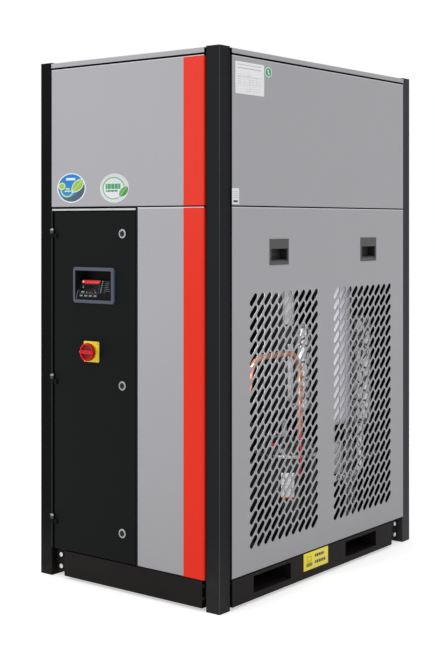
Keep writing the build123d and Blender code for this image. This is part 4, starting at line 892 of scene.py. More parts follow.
# ---------------------------------------------------------------- operators
class DressNodes(bpy.types.Operator):
    """Gives every CAD node its procedural finish"""

    bl_idname = "dryer.dress_nodes"
    bl_label = "Finishes of the CAD nodes"

    def execute(self, context):
        tones = context.scene.dryer_colours
        finishes = (
            (post_coat("post black", tones.post), "corner_posts"),
            (powder_coat("base black", tones.beam, 0.50, 0.40, 0.065, 0.03, 0.15),
             "end_base_beams side_base_beams corner_brackets fork_channels"),
            (panel_coat("panel grey", tones.panel, context.scene.dryer_sizes.bend),
             "top_cover front_upper_panel front_lower_panel side_upper_panels rear_upper_panel "
             "rear_lower_panel right_service_panel left_service_panel"),
            (surround_coat("surround black", tones.door), "door_frame"),
            (hinge_coat("hinge black", (0.020, 0.017, 0.024)), "frame_hinges"),
            (polished("dark chrome", (0.30, 0.30, 0.32), 0.20), "lock_bodies"),
            (powder_coat("door black", tones.door, 0.50, 0.45, 0.055, 0.0, 0.12), "door door_knuckles"),
            # painted shade: the sheet metal inside is coloured near-black
            (powder_coat("inside painted shade", tones.inside, 0.60, 0.40, 0.12, 0.10, 0.20),
             "floor_pan top_rails middle_rails equipment_deck electrical_enclosure fan_shroud"),
            (galvanised("zinc plate", (0.62, 0.63, 0.65)), "base_bolts"),
            (moulded("black plastic", (0.012, 0.012, 0.013), 0.40, 0.3, 0.25),
             "panel_catches cable_gland top_lock_core middle_lock_core bottom_lock_core switch_body"),
            (pocket_coat("pocket plastic", (0.085, 0.085, 0.088)), "right_pull_pockets left_pull_pockets"),
            (bezel_shell("bezel plastic", tones.bezel), "controller_bezel"),
            (moulded("console film", (0.0040, 0.0042, 0.0048), 0.34, 0.1, 0.05, 2400), "control_panel"),
            (moulded("key plastic", (0.21, 0.24, 0.26), 0.42, 0.1, 0.35), "key_1 key_2 key_3 key_4"),
            (moulded("switch yellow", tones.switch, 0.30, 0.03, 0.50), "switch_plate"),
            (handle_coat("handle red", tones.handle), "switch_knob"),
            (moulded("tab grey", (0.42, 0.40, 0.38), 0.40, 0.1, 0.35), "padlock_tab"),
            (soft_rubber("seal rubber", (0.012, 0.012, 0.012)), "door_gasket compressor_mounts"),
            (moulded("switchgear grey", (0.24, 0.25, 0.25), 0.42, 0.1, 0.35), "switchgear"),
            (enamel("compressor black", (0.010, 0.010, 0.011), 0.30, 0.5), "compressor liquid_receiver"),
            (pressed_fins("condenser fins"), "condenser_coil"),
            (enamel("fan black", (0.014, 0.014, 0.015), 0.42, 0.2), "fan_motors lower_fan upper_fan"),
            (crumpled_foil("foil wrap"), "accumulator"),
            (crumpled_foil("foil wrap and pipe tape", True), "moisture_separator"),
            (drawn_copper("copper tube"), "refrigerant_pipes"),
            (foam_sheet("foam sheet", (0.016, 0.016, 0.017)), "heat_exchanger"),
            (bowl_coat("bowl enamel", (0.68, 0.68, 0.75)), "filter_bowls"),
            (sand_cast("cast aluminium", (0.42, 0.42, 0.44)), "filter_heads"),
            (drawn_steel("plated pipe", (0.58, 0.58, 0.60)), "air_pipes"),
            (moulded("drain grey", (0.48, 0.46, 0.50), 0.36, 0.06, 0.40), "condensate_drains"),
            (moulded("lever red", (0.42, 0.012, 0.010), 0.36, 0.06, 0.45), "valve_lever"),
        )
        left = set(NODES)
        for finish, names in finishes:
            for name in names.split():
                NODES[name].data.materials.clear()
                NODES[name].data.materials.append(finish)
                left.remove(name)
        if left:
            raise RuntimeError(f"no finish for {sorted(left)}")
        return {"FINISHED"}


class LayStripes(bpy.types.Operator):
    """Lays the vinyl stripe down both front panels and round their right edges"""

    bl_idname = "dryer.lay_stripes"
    bl_label = "Vinyl stripes"

    def execute(self, context):
        sizes = context.scene.dryer_sizes
        red = vinyl("stripe vinyl", context.scene.dryer_colours.stripe, shine=0.17)
        for name, panel, head in (
            ("upper_stripe", "front_upper_panel", 1.0), ("lower_stripe", "front_lower_panel", 0.9),
        ):
            low, high = span(panel)
            film = sizes.film
            front = low.y - film
            left, right = high.x - sizes.stripe_width, high.x + film
            piece = block(name, (left, front, low.z + 0.0006),
                          (right, low.y + 0.007, high.z - sizes.bend * head))
            enter(piece)
            choose("EDGE", lambda edge: all(v.co.x > right - 1e-5 and v.co.y < front + 1e-5
                                            for v in edge.verts))
            round_off(sizes.bend + film, 8)
            choose("FACE", lambda face: max(face.normal.y, -face.normal.x, abs(face.normal.z)) > 0.9)
            bpy.ops.mesh.delete(type="FACE")
            leave()
            thicken(piece, film * 0.9, -1)
            done(piece, red, "cabinet")
        return {"FINISHED"}


class StickBadges(bpy.types.Operator):
    """Sticks the two oval badges, with plain leaves and bars, over the door"""

    bl_idname = "dryer.stick_badges"
    bl_label = "Oval badges"

    def execute(self, context):
        sizes = context.scene.dryer_sizes
        face = span("front_upper_panel")[0].y
        for name, x, z, size, picture in (
            ("energy_badge", -0.2165, 1.2072, 1.0, self.energy),
            ("coolant_badge", -0.038, 1.2039, 0.96, self.coolant),
        ):
            width, height = sizes.badge_width * size, sizes.badge_height * size
            piece = oval(name, (x, face - sizes.film / 2, z), width, height, sizes.film, 0.0025)
            f = Finish(name.replace("_", " "))
            u, v, w = f.axes((x, 0, z), (width / 2, 1.0, height / 2))
            done(piece, printed(f, picture(f, u, w)), "cabinet")
        return {"FINISHED"}

    def leaf(self, f, u, w, base, tip, width):
        """1 inside a plain leaf between two points."""
        run = Vector(tip) - Vector(base)
        middle = (Vector(tip) + Vector(base)) / 2
        side = Vector((-run.y, run.x)) * width
        radius = math.hypot(run.length / 2, side.length)
        return (
            f.round(u, w, middle.x + side.x, middle.y + side.y, radius)
            * f.round(u, w, middle.x - side.x, middle.y - side.y, radius)
        )

    def energy(self, f, u, w):
        """Blue sky over a dark hill, a green loop and a leaf."""
        inside = f.round(u, w, 0, 0, 0.93)
        hill = f.round(u, w, 0, 0, 0.91) * (1.0 - f.round(u, w, -0.36, 0.32, 0.98)) * (w < 0.44)
        pool = f.round(u, w, -0.30, -0.16, 0.46)
        loop = pool * (1.0 - f.round(u, w, -0.30, -0.16, 0.37)) * (w < -0.06)
        hue = f.mix(inside, (0.88, 0.90, 0.92), (0.0, 0.235, 0.600))
        hue = f.mix(hill, hue, (0.052, 0.105, 0.140))
        hue = f.mix(pool * inside, hue, (0.0, 0.235, 0.600))
        hue = f.mix(loop, hue, (0.52, 0.72, 0.20))
        halo = self.leaf(f, u, w, (0.02, -0.30), (0.86, 0.60), 0.34)
        hue = f.mix(halo * inside, hue, (0.80, 0.90, 0.70))
        blade = self.leaf(f, u, w, (0.07, -0.24), (0.80, 0.54), 0.36)
        hue = f.mix(blade, hue, (0.30, 0.56, 0.055))
        vein = f.band((w + 0.24) * 0.683 - (u - 0.07) * 0.730, -0.014, 0.020) * blade
        hue = f.mix(vein, hue, (0.78, 0.88, 0.62))
        halo = f.round(u, w, -0.67, 0.13, 0.245)
        hue = f.mix(halo * inside, hue, (0.78, 0.88, 0.66))
        hue = f.mix(f.round(u, w, -0.67, 0.13, 0.19), hue, (0.34, 0.58, 0.07))
        bar = f.field(u, w, (-0.37, 0.27), (0.52, 0.68))
        hue = f.mix(bar, hue, (0.84, 0.90, 0.95))
        for low, high, left, right in ((-0.10, -0.01, -0.40, -0.12), (-0.26, -0.17, -0.47, -0.05)):
            hue = f.mix(f.field(u, w, (left, right), (low, high)), hue, (0.72, 0.80, 0.32))
        return hue

    def coolant(self, f, u, w):
        """Pale disc with a green ring, a leaf and two plain bars."""
        disc = f.round(u, w, -0.05, -0.01, 0.695)
        ring = f.round(u, w, -0.05, -0.01, 0.765) * (1.0 - disc)
        ring = ring * (1.0 - f.field(u, w, (0.30, 1.0), (-0.70, 0.10)))
        hue = f.mix(f.round(u, w, 0, 0, 0.95), (0.72, 0.74, 0.76), (0.69, 0.72, 0.75))
        hue = f.mix(ring, hue, (0.13, 0.46, 0.14))
        hue = f.mix(disc, hue, (0.78, 0.78, 0.83))
        blade = self.leaf(f, u, w, (0.36, -0.60), (0.92, 0.10), 0.34)
        hue = f.mix(blade, hue, (0.10, 0.43, 0.055))
        beside = (w + 0.60) * 0.625 - (u - 0.36) * 0.781
        hue = f.mix(blade * (beside < 0.0), hue, (0.035, 0.29, 0.045))
        vein = f.band(beside, -0.010, 0.022) * blade
        hue = f.mix(vein, hue, (0.55, 0.72, 0.42))
        for low, high, left, right, tone in (
            (-0.06, 0.30, -0.60, 0.42, (0.035, 0.36, 0.13)), (-0.25, -0.13, -0.58, 0.22, (0.06, 0.22, 0.12)),
        ):
            gaps = f.math("FRACT", u * 4.1) > 0.10
            hue = f.mix(f.field(u, w, (left, right), (low, high)) * gaps, hue, tone)
        return hue


def label_axes(f, low, high):
    """Coordinates from -1 to 1 across and up a label on the right side."""
    middle = [(a + b) / 2 for a, b in zip(low, high)]
    return f.axes(middle, (1, (high[1] - low[1]) / 2, (high[2] - low[2]) / 2))[1:]


class FixLabels(bpy.types.Operator):
    """Fixes the plain data plate and the small labels"""

    bl_idname = "dryer.fix_labels"
    bl_label = "Plates and labels"

    def execute(self, context):
        sizes = context.scene.dryer_sizes
        tones = context.scene.dryer_colours
        side = span("side_upper_panels")[1].x
        out = (1, 0, 0)

        low = (side, -0.4735, 1.469)
        high = (side + sizes.film, -0.4735 + sizes.plate_width, 1.469 + sizes.plate_height)
        piece = film("data_plate", low, high, out, 0.0012)
        done(piece, self.data_print(low, high), "cabinet")

        y, z, width, height = -0.312, 1.5426, 0.041, 0.035
        piece = drum("round_label", (side + sizes.film / 2, y, z), 0.5, sizes.film, "X", 56)
        enter(piece)
        everything()
        bpy.ops.transform.resize(value=(1, width, height), center_override=(side, y, z))
        choose("FACE", facing(out))
        bpy.ops.mesh.inset(thickness=0.0010, depth=0)
        choose("EDGE", rim(out))
        round_off(sizes.film * 0.3, 2)
        leave()
        f = Finish("round label")
        x, u, w = f.axes((0, y, z), (1, width / 2, height / 2))
        hue = f.mix(f.round(u, w, 0, 0, 0.90), (0.10, 0.42, 0.24), (0.78, 0.84, 0.80))
        hue = f.mix(f.round(u, w, 0, 0, 0.70), hue, (0.045, 0.36, 0.18))
        hue = f.mix(f.band(u + w * 0.35, -0.16, 0.16) * f.band(w, -0.44, 0.44), hue, (0.80, 0.86, 0.82))
        done(piece, printed(f, hue), "cabinet")

        low = (side, -0.489, 1.1530)
        high = (side + sizes.film, -0.456, 1.1985)
        piece = film("seam_label", low, high, out, 0.0010)
        f = Finish("seam label")
        u, w = label_axes(f, low, high)
        lines = f.band(f.math("FRACT", w * 4.0), 0.30, 0.55) * f.field(u, w, (-0.62, 0.62), (-0.20, 0.80))
        mark = f.field(u, w, (-0.62, 0.62), (-0.78, -0.52))
        hue = f.mix(lines * 0.7, (0.88, 0.88, 0.90), (0.34, 0.34, 0.36))
        done(piece, printed(f, f.mix(mark, hue, (0.04, 0.04, 0.045))), "cabinet")

        face = span("side_base_beams")[1].x
        low = (face, -0.1265, 0.0320)
        high = (face + sizes.film, -0.1265 + sizes.base_label_width, 0.0320 + sizes.base_label_height)
        piece = film("base_label", low, high, out, 0.0012)
        done(piece, self.base_print(low, high, tones.warning), "cabinet")
        return {"FINISHED"}

    def data_print(self, low, high):
        """Rows of plain grey bars, one white field and a line round the lower half."""
        f = Finish("data plate")
        u, w = label_axes(f, low, high)
        words = f.noise(170, 2.0, 0.6, (1, 1, 0.2)) > 0.47
        rows = f.band(f.math("FRACT", w * 7.0), 0.32, 0.62)
        body = f.field(u, w, (-0.84, 0.84), (-0.46, 0.34))
        heads = f.band(u, -0.84, 0.80) * (f.band(w, 0.80, 0.84) + f.band(w, 0.58, 0.63))
        field = f.field(u, w, (0.12, 0.80), (0.18, 0.40))
        foot = f.field(u, w, (-0.30, 0.82), (-0.88, -0.56)) * rows
        frame_line = f.band(u, -0.86, 0.86) * (f.band(w, 0.10, 0.12) + f.band(w, -0.50, -0.48))
        hue = f.mix(body * rows * words * 0.45, (0.97, 0.97, 0.99), (0.30, 0.30, 0.34))
        hue = f.mix(heads * 0.60, hue, (0.20, 0.18, 0.26))
        hue = f.mix(foot * words * 0.35, hue, (0.30, 0.30, 0.34))
        hue = f.mix(frame_line * 0.4, hue, (0.30, 0.30, 0.34))
        hue = f.mix(field, hue, (0.99, 0.99, 0.99))
        return printed(f, hue)

    def base_print(self, low, high, yellow):
        """Yellow with a black line round it, plain bars and a plain block on two arms."""
        f = Finish("base label")
        u, w = label_axes(f, low, high)
        line = f.field(u, w, (-0.965, 0.965), (-0.915, 0.915))
        line = line * (1.0 - f.field(u, w, (-0.945, 0.945), (-0.86, 0.86)))
        bars = f.field(u, w, (-0.10, 0.66), (0.24, 0.58)) + f.field(u, w, (-0.10, 0.80), (-0.50, -0.16))
        bars = bars * (f.math("FRACT", u * 5.2) > 0.16)
        block_mark = f.field(u, w, (-0.74, -0.38), (-0.06, 0.56))
        inner = f.field(u, w, (-0.69, -0.43), (0.04, 0.46))
        arms = f.field(u, w, (-0.78, -0.30), (-0.62, -0.20))
        hue = f.mix(line * 0.12, yellow, (0.03, 0.03, 0.02))
        hue = f.mix(f.clamp(bars), hue, (0.012, 0.014, 0.010))
        hue = f.mix(block_mark * 0.55, hue, (0.045, 0.042, 0.020))
        hue = f.mix(inner, hue, yellow)
        hue = f.mix(arms * 0.75, hue, (0.045, 0.042, 0.020))
        return printed(f, hue)


class FitControllerFace(bpy.types.Operator):
    """Fits the window, header bar, lights and plain legends on the sloped console"""

    bl_idname = "dryer.fit_controller_face"
    bl_label = "Controller face"

    def execute(self, context):
        sizes = context.scene.dryer_sizes
        low, high = span("control_panel")
        self.foot = Vector(((low.x + high.x) / 2, low.y, low.z))
        self.tilt = math.atan2(sizes.console_run, sizes.console_rise)
        glass = Finish("display glass")
        smear = glass.noise(60, 4.0, 0.6)
        glass.bump(smear, 0.0001, 0.1)
        window = glass.paint(glass.tint((0.0040, 0.0046, 0.0070), smear * 0.7 + 0.65), smear * 0.10 + 0.10,
                             specular_ior_level=0.06)
        border = moulded("display border", (0.028, 0.033, 0.055), 0.40, 0.1, 0.2)
        legend = vinyl("legend grey", (0.060, 0.072, 0.085), 0.45)
        faint = vinyl("legend faint", (0.020, 0.024, 0.028), 0.45)
        pale = vinyl("legend pale", (0.35, 0.38, 0.38), 0.4)
        sand = vinyl("legend sand", (0.27, 0.25, 0.20), 0.4)
        tick = vinyl("legend red", (0.075, 0.010, 0.008), 0.45)
        glow = moulded("lamp lens red", (0.55, 0.012, 0.010), 0.3, 0.1)
        white = vinyl("header white", (0.82, 0.82, 0.84), 0.4)
        edge = moulded("console edge", (0.26, 0.27, 0.26), 0.4, 0.1)

        self.plate("display_border", -66.0, 15.5, 17.0, 48.2, 1.0, 6.0, border)
        self.plate("display_window", -63.4, 12.9, 19.6, 46.4, 1.3, 4.5, window)
        self.plate("header_bar", -63.2, 14.6, 50.4, 61.2, 1.2, 4.6, self.header(), slant=3.6)
        self.plate("header_mark", -60.2, -53.6, 52.8, 59.4, 1.6, 3.2, white)
        self.plate("console_edge", -73.6, -71.4, 1.6, 30.0, 0.9, 0.9, edge)
        self.plate("console_edge_top", -73.4, -72.2, 31.0, 61.0, 0.7, 0.5, border)
        ends = (50.0, 52.0, 49.1, 52.0, 55.6, 59.7, 41.5)
        for index, end in enumerate(ends):
            w = 57.8 - index * 5.75
            size = 2.2 if index in (0, 2, 4, 5) else 1.5
            self.plate(f"status_mark_{index + 1}", 23.0 - size, 23.0 + size, w - 1.5, w + 1.5, 1.0, 1.2, pale)
            self.plate(f"status_tick_{index + 1}", 28.8, 29.8, w - 2.2, w + 2.2, 0.5, 0.3, tick)
            self.plate(f"status_legend_{index + 1}", 33.0 + index * 0.5, end, w - 1.3, w + 1.3, 0.5, 0.8,
                       faint if index == 0 else legend)
        self.plate("display_stroke", -55.0, -51.4, 35.6, 43.4, 1.6, 1.5, sand, slant=-2.0)
        self.plate("display_fan", -58.0, -43.0, 21.0, 26.4, 1.6, 2.6, sand)
        symbols = ((-33.0, 2.6), (-24.0, 1.0), (-17.3, 1.0), (-11.0, 1.0), (3.0, 2.8))
        for index, (u, half) in enumerate(symbols):
            self.plate(f"display_symbol_{index + 1}", u - half, u + half, 21.4, 24.6, 1.6, 0.8, sand)
        self.plate("display_point", -4.2, -0.2, 26.6, 30.6, 1.7, 1.9, glow)
        for index, u in enumerate((-42.6, -24.1, -6.9)):
            self.plate(f"key_tick_{index + 1}", u - 0.9, u + 0.9, 6.0, 13.6, 0.5, 0.4, tick)
        return {"FINISHED"}

    def header(self):
        """Red vinyl with two plain paler bars."""
        f = Finish("header red")
        x, y, z = f.axes(self.foot, (MM, MM, MM))
        wear = f.noise(190, 5.0, 0.75)
        bars = f.band(z, 50.6, 54.4) * (f.band(x, -47, -18) + f.band(x, -12, 8)) * 0.55
        hue = f.mix(bars, (0.80, 0.022, 0.012), (0.78, 0.11, 0.07))
        f.bump(wear, 0.00003, 0.3)
        return f.paint(f.tint(hue, wear * 0.2 + 0.9), wear * 0.15 + 0.28, specular_ior_level=0.25)

    def plate(self, name, u0, u1, w0, w1, rise, corner, finish, slant=0.0):
        """A small plate on the slope, from places in millimetres across and up it."""
        piece = block(name, (u0 * MM, -rise * MM, w0 * MM), (u1 * MM, 0, w1 * MM))
        enter(piece)
        if slant:
            choose("VERT", lambda vert: vert.co.x > (u1 - 0.1) * MM and vert.co.z < (w0 + 0.1) * MM)
            bpy.ops.transform.translate(value=(-slant * MM, 0, 0))
        choose("EDGE", along((0, 1, 0)))
        round_off(min(corner, (u1 - u0) * 0.48, (w1 - w0) * 0.48) * MM, 4)
        choose("EDGE", rim((0, -1, 0)))
        round_off(rise * MM * 0.3, 2)
        everything()
        bpy.ops.transform.rotate(value=self.tilt, orient_axis="X", center_override=(0, 0, 0))
        bpy.ops.transform.translate(value=self.foot)
        leave()
        return done(piece, finish, "door")


class MarkSwitch(bpy.types.Operator):
    """Marks the rotary switch plate with a ring and a bar, and the grip with its centre"""

    bl_idname = "dryer.mark_switch"
    bl_label = "Switch marks"

    def execute(self, context):
        low, high = span("switch_plate")
        x, z = (low.x + high.x) / 2, (low.z + high.z) / 2
        face = high.y - 0.0025
        black = vinyl("switch print", (0.012, 0.011, 0.010))
        ring = hoop("off_mark", (x + 0.0265, face, z + 0.0262), 0.0022, 0.0005, "Y", 28, 6)
        enter(ring)
        everything()
        bpy.ops.transform.resize(value=(1, 0.4, 1), center_override=(x, face, z))
        leave()
        done(ring, black, "door")
        bar = film("on_mark", (x + 0.0259, face - 0.0002, z - 0.0288), (x + 0.0271, face, z - 0.0240),
                   (0, -1, 0), 0.0003)
        done(bar, black, "door")
        grip = span("switch_knob")[0].y + 0.001
        hub = drum("handle_centre", (x, grip - 0.0001, z), 0.0019, 0.0004, "Y", 28)
        enter(hub)
        choose("FACE", facing((0, -1, 0)))
        bpy.ops.mesh.inset(thickness=0.0005, depth=-0.0002)
        choose("EDGE", rim((0, -1, 0)))
        round_off(0.0001, 2)
        leave()
        done(hub, black, "switch_handle")
        arrow = film("handle_mark", (x + 0.0060, grip - 0.0002, z - 0.0008), (x + 0.0150, grip, z + 0.0008),
                     (0, -1, 0), 0.0006)
        done(arrow, vinyl("handle print", (0.40, 0.02, 0.03)), "switch_handle")
        return {"FINISHED"}


class DriveScrews(bpy.types.Operator):
    """Drives the pan-head screws of the fixed panels and the cover"""

    bl_idname = "dryer.drive_screws"
    bl_label = "Panel screws"

    def execute(self, context):
        sizes = context.scene.dryer_sizes
        plated = polished("screw zinc", (0.52, 0.53, 0.55), 0.26)
        low, high = span("rear_upper_panel")
        deep = span("rear_lower_panel")
        first = self.screw("rear_screws", (low.x + 0.016, high.y, high.z - 0.016), (0, 1, 0), sizes)
        places = []
        for x in (0, (high.x - low.x) / 2 - 0.016, high.x - low.x - 0.032):
            for z in (0, low.z - high.z + 0.032, deep[1].z - high.z, deep[0].z - high.z + 0.032,
                      (deep[0].z + deep[1].z) / 2 - high.z + 0.016):
                places.append((x, 0, z))
        piece = repeated("rear_screws", first, places[1:])
        done(piece, plated, "cabinet")
        low, high = span("top_cover")
        first = self.screw("cover_screws", (low.x + 0.075, low.y + 0.022, high.z), (0, 0, 1), sizes)
        width = high.x - low.x - 0.150
        depth = high.y - low.y - 0.044
        places = [(x, y, 0) for x in (0, width / 2, width) for y in (0, depth)]
        places += [(-0.053, 0.35, 0), (-0.053, 0.69, 0), (width + 0.053, 0.35, 0), (width + 0.053, 0.69, 0)]
        done(repeated("cover_screws", first, places[1:]), plated, "cabinet")
        return {"FINISHED"}

    def screw(self, name, place, outward, sizes):
        """One pan head with a washer face and a round recess."""
        way = Vector(outward)
        axis = "XYZ"[[abs(v) for v in outward].index(1)]
        middle = Vector(place) + way * sizes.screw_rise / 2
        piece = drum(name, middle, sizes.screw_head, sizes.screw_rise, axis, 24)
        enter(piece)
        choose("EDGE", rim(outward))
        round_off(sizes.screw_rise * 0.55, 4)
        choose("FACE", facing(outward, 0.999))
        bpy.ops.mesh.inset(thickness=sizes.screw_head * 0.22, depth=0)
        bpy.ops.mesh.inset(thickness=sizes.screw_head * 0.10, depth=-sizes.screw_rise * 0.45)
        choose("FACE", facing([-v for v in outward]))
        bpy.ops.mesh.inset(thickness=0.0001, depth=0)
        leave()
        return piece


class TrimCompressor(bpy.types.Operator):
    """Adds the crimp band and the plain label of the compressor"""

    bl_idname = "dryer.trim_compressor"
    bl_label = "Compressor trim"

    def execute(self, context):
        middle = Vector((0.210, 0.0, 0.0))
        zinc = galvanised("band zinc", (0.70, 0.71, 0.73))
        band = drum("crimp_band", (middle.x, middle.y, 0.3660), 0.1022, 0.0100, "Z", 96)
        enter(band)
        choose("FACE", lambda face: abs(face.normal.z) > 0.9)
        bpy.ops.mesh.inset(thickness=0.0030, depth=0)
        bpy.ops.mesh.delete(type="FACE")
        choose("EDGE", lambda edge: len(edge.link_faces) == 2 and edge.calc_face_angle(0) > 1.0)
        round_off(0.0018, 3)
        leave()
        thicken(band, 0.0012, -1)
        done(band, zinc, "cabinet")

        label = self.shell_label("compressor_label", middle, 0.0954, 0.237, 0.316, math.radians(-64), 0.041)
        f = Finish("compressor label")
        x, y, z = f.axes()
        bars = f.band(f.math("FRACT", z / 0.0105), 0.25, 0.55) * (f.noise(150, 2.0, 0.6, (1, 1, 0.15)) > 0.48)
        bars = bars * f.band(z, 0.250, 0.300)
        hue = f.mix(bars * 0.5, (0.74, 0.73, 0.76), (0.24, 0.24, 0.26))
        hue = f.mix(f.band(z, 0.230, 0.2405), hue, (0.90, 0.17, 0.045))
        done(label, printed(f, hue), "cabinet")
        return {"FINISHED"}

    def shell_label(self, name, middle, radius, low, high, facing_angle, half_width):
        """A film bent round an upright shell."""
        spread = half_width / radius
        piece = drum(name, (middle.x, middle.y, (low + high) / 2), radius, high - low, "Z", 160)
        enter(piece)

        def off(face):
            centre = face.calc_center_median() - middle
            turn = math.atan2(centre.y, centre.x) - facing_angle
            turn = (turn + math.pi) % (2 * math.pi) - math.pi
            return abs(face.normal.z) > 0.5 or abs(turn) > spread

        choose("FACE", off)
        bpy.ops.mesh.delete(type="FACE")
        leave()
        thicken(piece, 0.0004, 1)
        return piece


class RunLeads(bpy.types.Operator):
    """Runs the leads of the compressor out of its terminal box, and its thermostat lead"""

    bl_idname = "dryer.run_leads"
    bl_label = "Compressor leads"

    def execute(self, context):
        thick = context.scene.dryer_sizes.lead / 2
        box = Vector((0.240, span("compressor")[0].y + 0.016, 0.3195))
        wall = span("electrical_enclosure")[1].y
        red = moulded("lead red", (0.60, 0.012, 0.020), 0.34, 0.05, 0.4)
        black = self.sleeved("lead black")
        for index, x in enumerate((-0.024, -0.010, 0.004)):
            start = box + Vector((x, 0, -0.004))
            points = [
                start, start + Vector((0, 0, 0.060)), start + Vector((0.001, 0, 0.115)),
                start + Vector((-0.050 + x, -0.080, 0.180)),
                Vector((-0.010 + x * 2, wall + 0.050, 0.520)), Vector((-0.030 + x * 2, wall - 0.001, 0.520)),
            ]
            done(wire(f"supply_lead_{index + 1}", points, thick), black, "cabinet")
        points = [
            Vector((0.280, -0.048, 0.298)), Vector((0.306, -0.062, 0.314)), Vector((0.3085, -0.066, 0.345)),
            Vector((0.3085, -0.064, 0.395)), Vector((0.299, -0.050, 0.434)), Vector((0.262, -0.016, 0.446)),
            Vector((0.247, 0.008, 0.440)),
        ]
        done(wire("thermostat_lead", points, thick), red, "cabinet")
        return {"FINISHED"}

    def sleeved(self, name):
        """Black jackets; the rightmost lead has a red sleeve."""
        f = Finish(name)
        fine = f.noise(600, 3.0, 0.6)
        bloom = f.noise(40, 4.0, 0.6)
        x, y, z = f.axes()
        sleeve = f.band(z, 0.398, 0.424) * (x > 0.2390)
        f.bump(fine, 0.0001, 0.5)
        hue = f.tint(f.mix(sleeve, (0.014, 0.014, 0.016), (0.60, 0.012, 0.020)), bloom * 0.3 + 0.85)
        return f.paint(hue, fine * 0.15 + 0.32, specular_ior_level=0.2)


class FitReturnBends(bpy.types.Operator):
    """Fits the copper return bends on the rear end of the condenser"""

    bl_idname = "dryer.fit_return_bends"
    bl_label = "Return bends"

    def execute(self, context):
        sizes = context.scene.dryer_sizes
        low, high = span("condenser_coil")
        pitch = sizes.bend_pitch
        copper = polished("return bend copper", (0.74, 0.33, 0.19), 0.22)
        start = Vector((low.x + 0.017, high.y - 0.0005, low.z + 0.030))
        bend = hoop("return_bends", start, pitch / 2, sizes.bend_tube, "X", 24, 10)
        enter(bend)
        everything()
        bpy.ops.mesh.bisect(plane_co=start, plane_no=(0, 1, 0), use_fill=True, clear_inner=True)
        leave()
        rows = int((high.z - low.z - 0.050) / (2 * pitch))
        places = [(x, 0, row * 2 * pitch) for x in (0, 0.026) for row in range(rows)]
        done(repeated("return_bends", bend, places[1:]), copper, "cabinet")
        return {"FINISHED"}


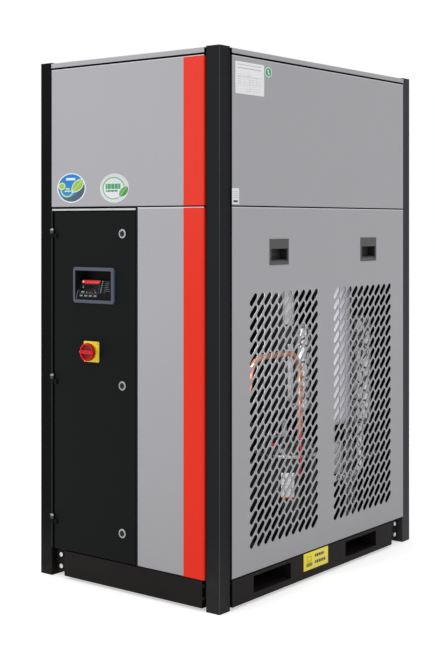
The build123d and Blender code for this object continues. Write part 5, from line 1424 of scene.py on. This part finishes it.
class BuildStudio(bpy.types.Operator):
    """Lays the floor and sets the camera, the room light and the lamps"""

    bl_idname = "dryer.build_studio"
    bl_label = "Studio"

    def execute(self, context):
        studio = context.scene.dryer_studio
        deselect()
        bpy.ops.object.camera_add(location=studio.eye, rotation=(math.pi / 2, 0, studio.turn))
        camera = bpy.context.object
        camera.name = "camera"
        camera.data.lens = studio.lens
        camera.data.sensor_width = 36.0
        camera.data.shift_y = studio.rise
        camera.data.clip_end = 200.0
        context.scene.camera = camera

        bpy.ops.mesh.primitive_grid_add(x_subdivisions=6, y_subdivisions=6, size=studio.floor_size,
                                        location=(0, 0, -0.0006))
        ground = take("floor")
        f = Finish("floor white")
        mottle = f.noise(2, 3.0, 0.5)
        f.paint(f.tint((0.90, 0.90, 0.90), mottle * 0.02 + 0.99), 0.9, specular_ior_level=0.0)
        seen = f.tree.nodes.new("ShaderNodeLightPath")
        rays = f.either(Value(f, seen.outputs["Is Camera Ray"]), Value(f, seen.outputs["Is Glossy Ray"]))
        rays = f.either(rays, Value(f, seen.outputs["Is Transmission Ray"]))
        lit = Value(f, f.shader.outputs[0])
        glow = f.node("ShaderNodeEmission", {}, {"Color": (1.0, 1.0, 1.0), "Strength": 0.5})
        white = f.node("ShaderNodeAddShader", {}, {0: lit, 1: glow})
        both = f.node("ShaderNodeMixShader", {}, {0: rays, 1: lit, 2: white})
        end = next(node for node in f.tree.nodes if node.type == "OUTPUT_MATERIAL")
        f.tree.links.new(both.socket, end.inputs[0])
        ground.data.materials.append(f.material)

        world = bpy.data.worlds.new("room")
        context.scene.world = world
        world.use_nodes = True
        tree = world.node_tree
        tree.nodes.clear()
        path = tree.nodes.new("ShaderNodeLightPath")
        even = tree.nodes.new("ShaderNodeBackground")
        even.inputs["Color"].default_value = (1.0, 1.0, 1.0, 1.0)
        even.inputs["Strength"].default_value = studio.sky
        white = tree.nodes.new("ShaderNodeBackground")
        white.inputs["Color"].default_value = (1.0, 1.0, 1.0, 1.0)
        white.inputs["Strength"].default_value = 1.0
        mirrored, seen = [tree.nodes.new("ShaderNodeMath") for turn in range(2)]
        mirrored.operation = seen.operation = "MAXIMUM"
        blend = tree.nodes.new("ShaderNodeMixShader")
        end = tree.nodes.new("ShaderNodeOutputWorld")
        tree.links.new(path.outputs["Is Glossy Ray"], mirrored.inputs[0])
        tree.links.new(path.outputs["Is Transmission Ray"], mirrored.inputs[1])
        tree.links.new(path.outputs["Is Camera Ray"], seen.inputs[0])
        tree.links.new(mirrored.outputs[0], seen.inputs[1])
        tree.links.new(seen.outputs[0], blend.inputs[0])
        tree.links.new(even.outputs[0], blend.inputs[1])
        tree.links.new(white.outputs[0], blend.inputs[2])
        tree.links.new(blend.outputs[0], end.inputs[0])

        centre = (0.0, 0.0, 0.8)
        for name, place, aim, power, size in (
            ("front lamp", (-1.6, -4.2, 2.4), centre, studio.key, (3.0, 3.0)),
            ("side lamp", (4.4, 0.4, 2.2), centre, studio.fill, (3.0, 3.0)),
            ("top lamp", (0.2, -0.4, 4.6), centre, studio.top, (3.4, 3.4)),
            ("inner lamp", (0.285, -0.430, 0.760), (0.215, 0.250, 0.640), studio.inner, (0.10, 0.50)),
        ):
            lamp = bpy.data.lights.new(name, "AREA")
            lamp.shape = "RECTANGLE"
            lamp.energy = power
            lamp.size, lamp.size_y = size
            holder = bpy.data.objects.new(name, lamp)
            holder.location = place
            holder.rotation_euler = (Vector(aim) - Vector(place)).to_track_quat("-Z", "Y").to_euler()
            context.scene.collection.objects.link(holder)
        context.scene.view_settings.view_transform = "Standard"
        return {"FINISHED"}


OPERATORS = (
    DressNodes, LayStripes, StickBadges, FixLabels, FitControllerFace, MarkSwitch, DriveScrews,
    TrimCompressor, RunLeads, FitReturnBends, BuildStudio,
)


class DryerPanel(bpy.types.Panel):
    """Lists the pieces of the dryer in the sidebar"""

    bl_idname = "VIEW3D_PT_dryer"
    bl_label = "Air dryer"
    bl_space_type = "VIEW_3D"
    bl_region_type = "UI"
    bl_category = "Dryer"

    def draw(self, context):
        for operator in OPERATORS:
            self.layout.operator(operator.bl_idname, text=operator.bl_label)
        for group in (context.scene.dryer_sizes, context.scene.dryer_colours, context.scene.dryer_studio):
            box = self.layout.box()
            for name in group.__annotations__:
                box.prop(group, name)


CLASSES = (DryerSizes, DryerColours, DryerStudio, *OPERATORS, DryerPanel)


def register():
    for item in CLASSES:
        bpy.utils.register_class(item)
    bpy.types.Scene.dryer_sizes = PointerProperty(type=DryerSizes)
    bpy.types.Scene.dryer_colours = PointerProperty(type=DryerColours)
    bpy.types.Scene.dryer_studio = PointerProperty(type=DryerStudio)


def unregister():
    del bpy.types.Scene.dryer_sizes
    del bpy.types.Scene.dryer_colours
    del bpy.types.Scene.dryer_studio
    for item in reversed(CLASSES):
        bpy.utils.unregister_class(item)


def main():
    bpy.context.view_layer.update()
    register()
    bpy.ops.dryer.build_studio()
    bpy.ops.dryer.dress_nodes()
    bpy.ops.dryer.lay_stripes()
    bpy.ops.dryer.stick_badges()
    bpy.ops.dryer.fix_labels()
    bpy.ops.dryer.fit_controller_face()
    bpy.ops.dryer.mark_switch()
    bpy.ops.dryer.drive_screws()
    bpy.ops.dryer.trim_compressor()
    bpy.ops.dryer.run_leads()
    bpy.ops.dryer.fit_return_bends()


if __name__ == "__main__":
    main()
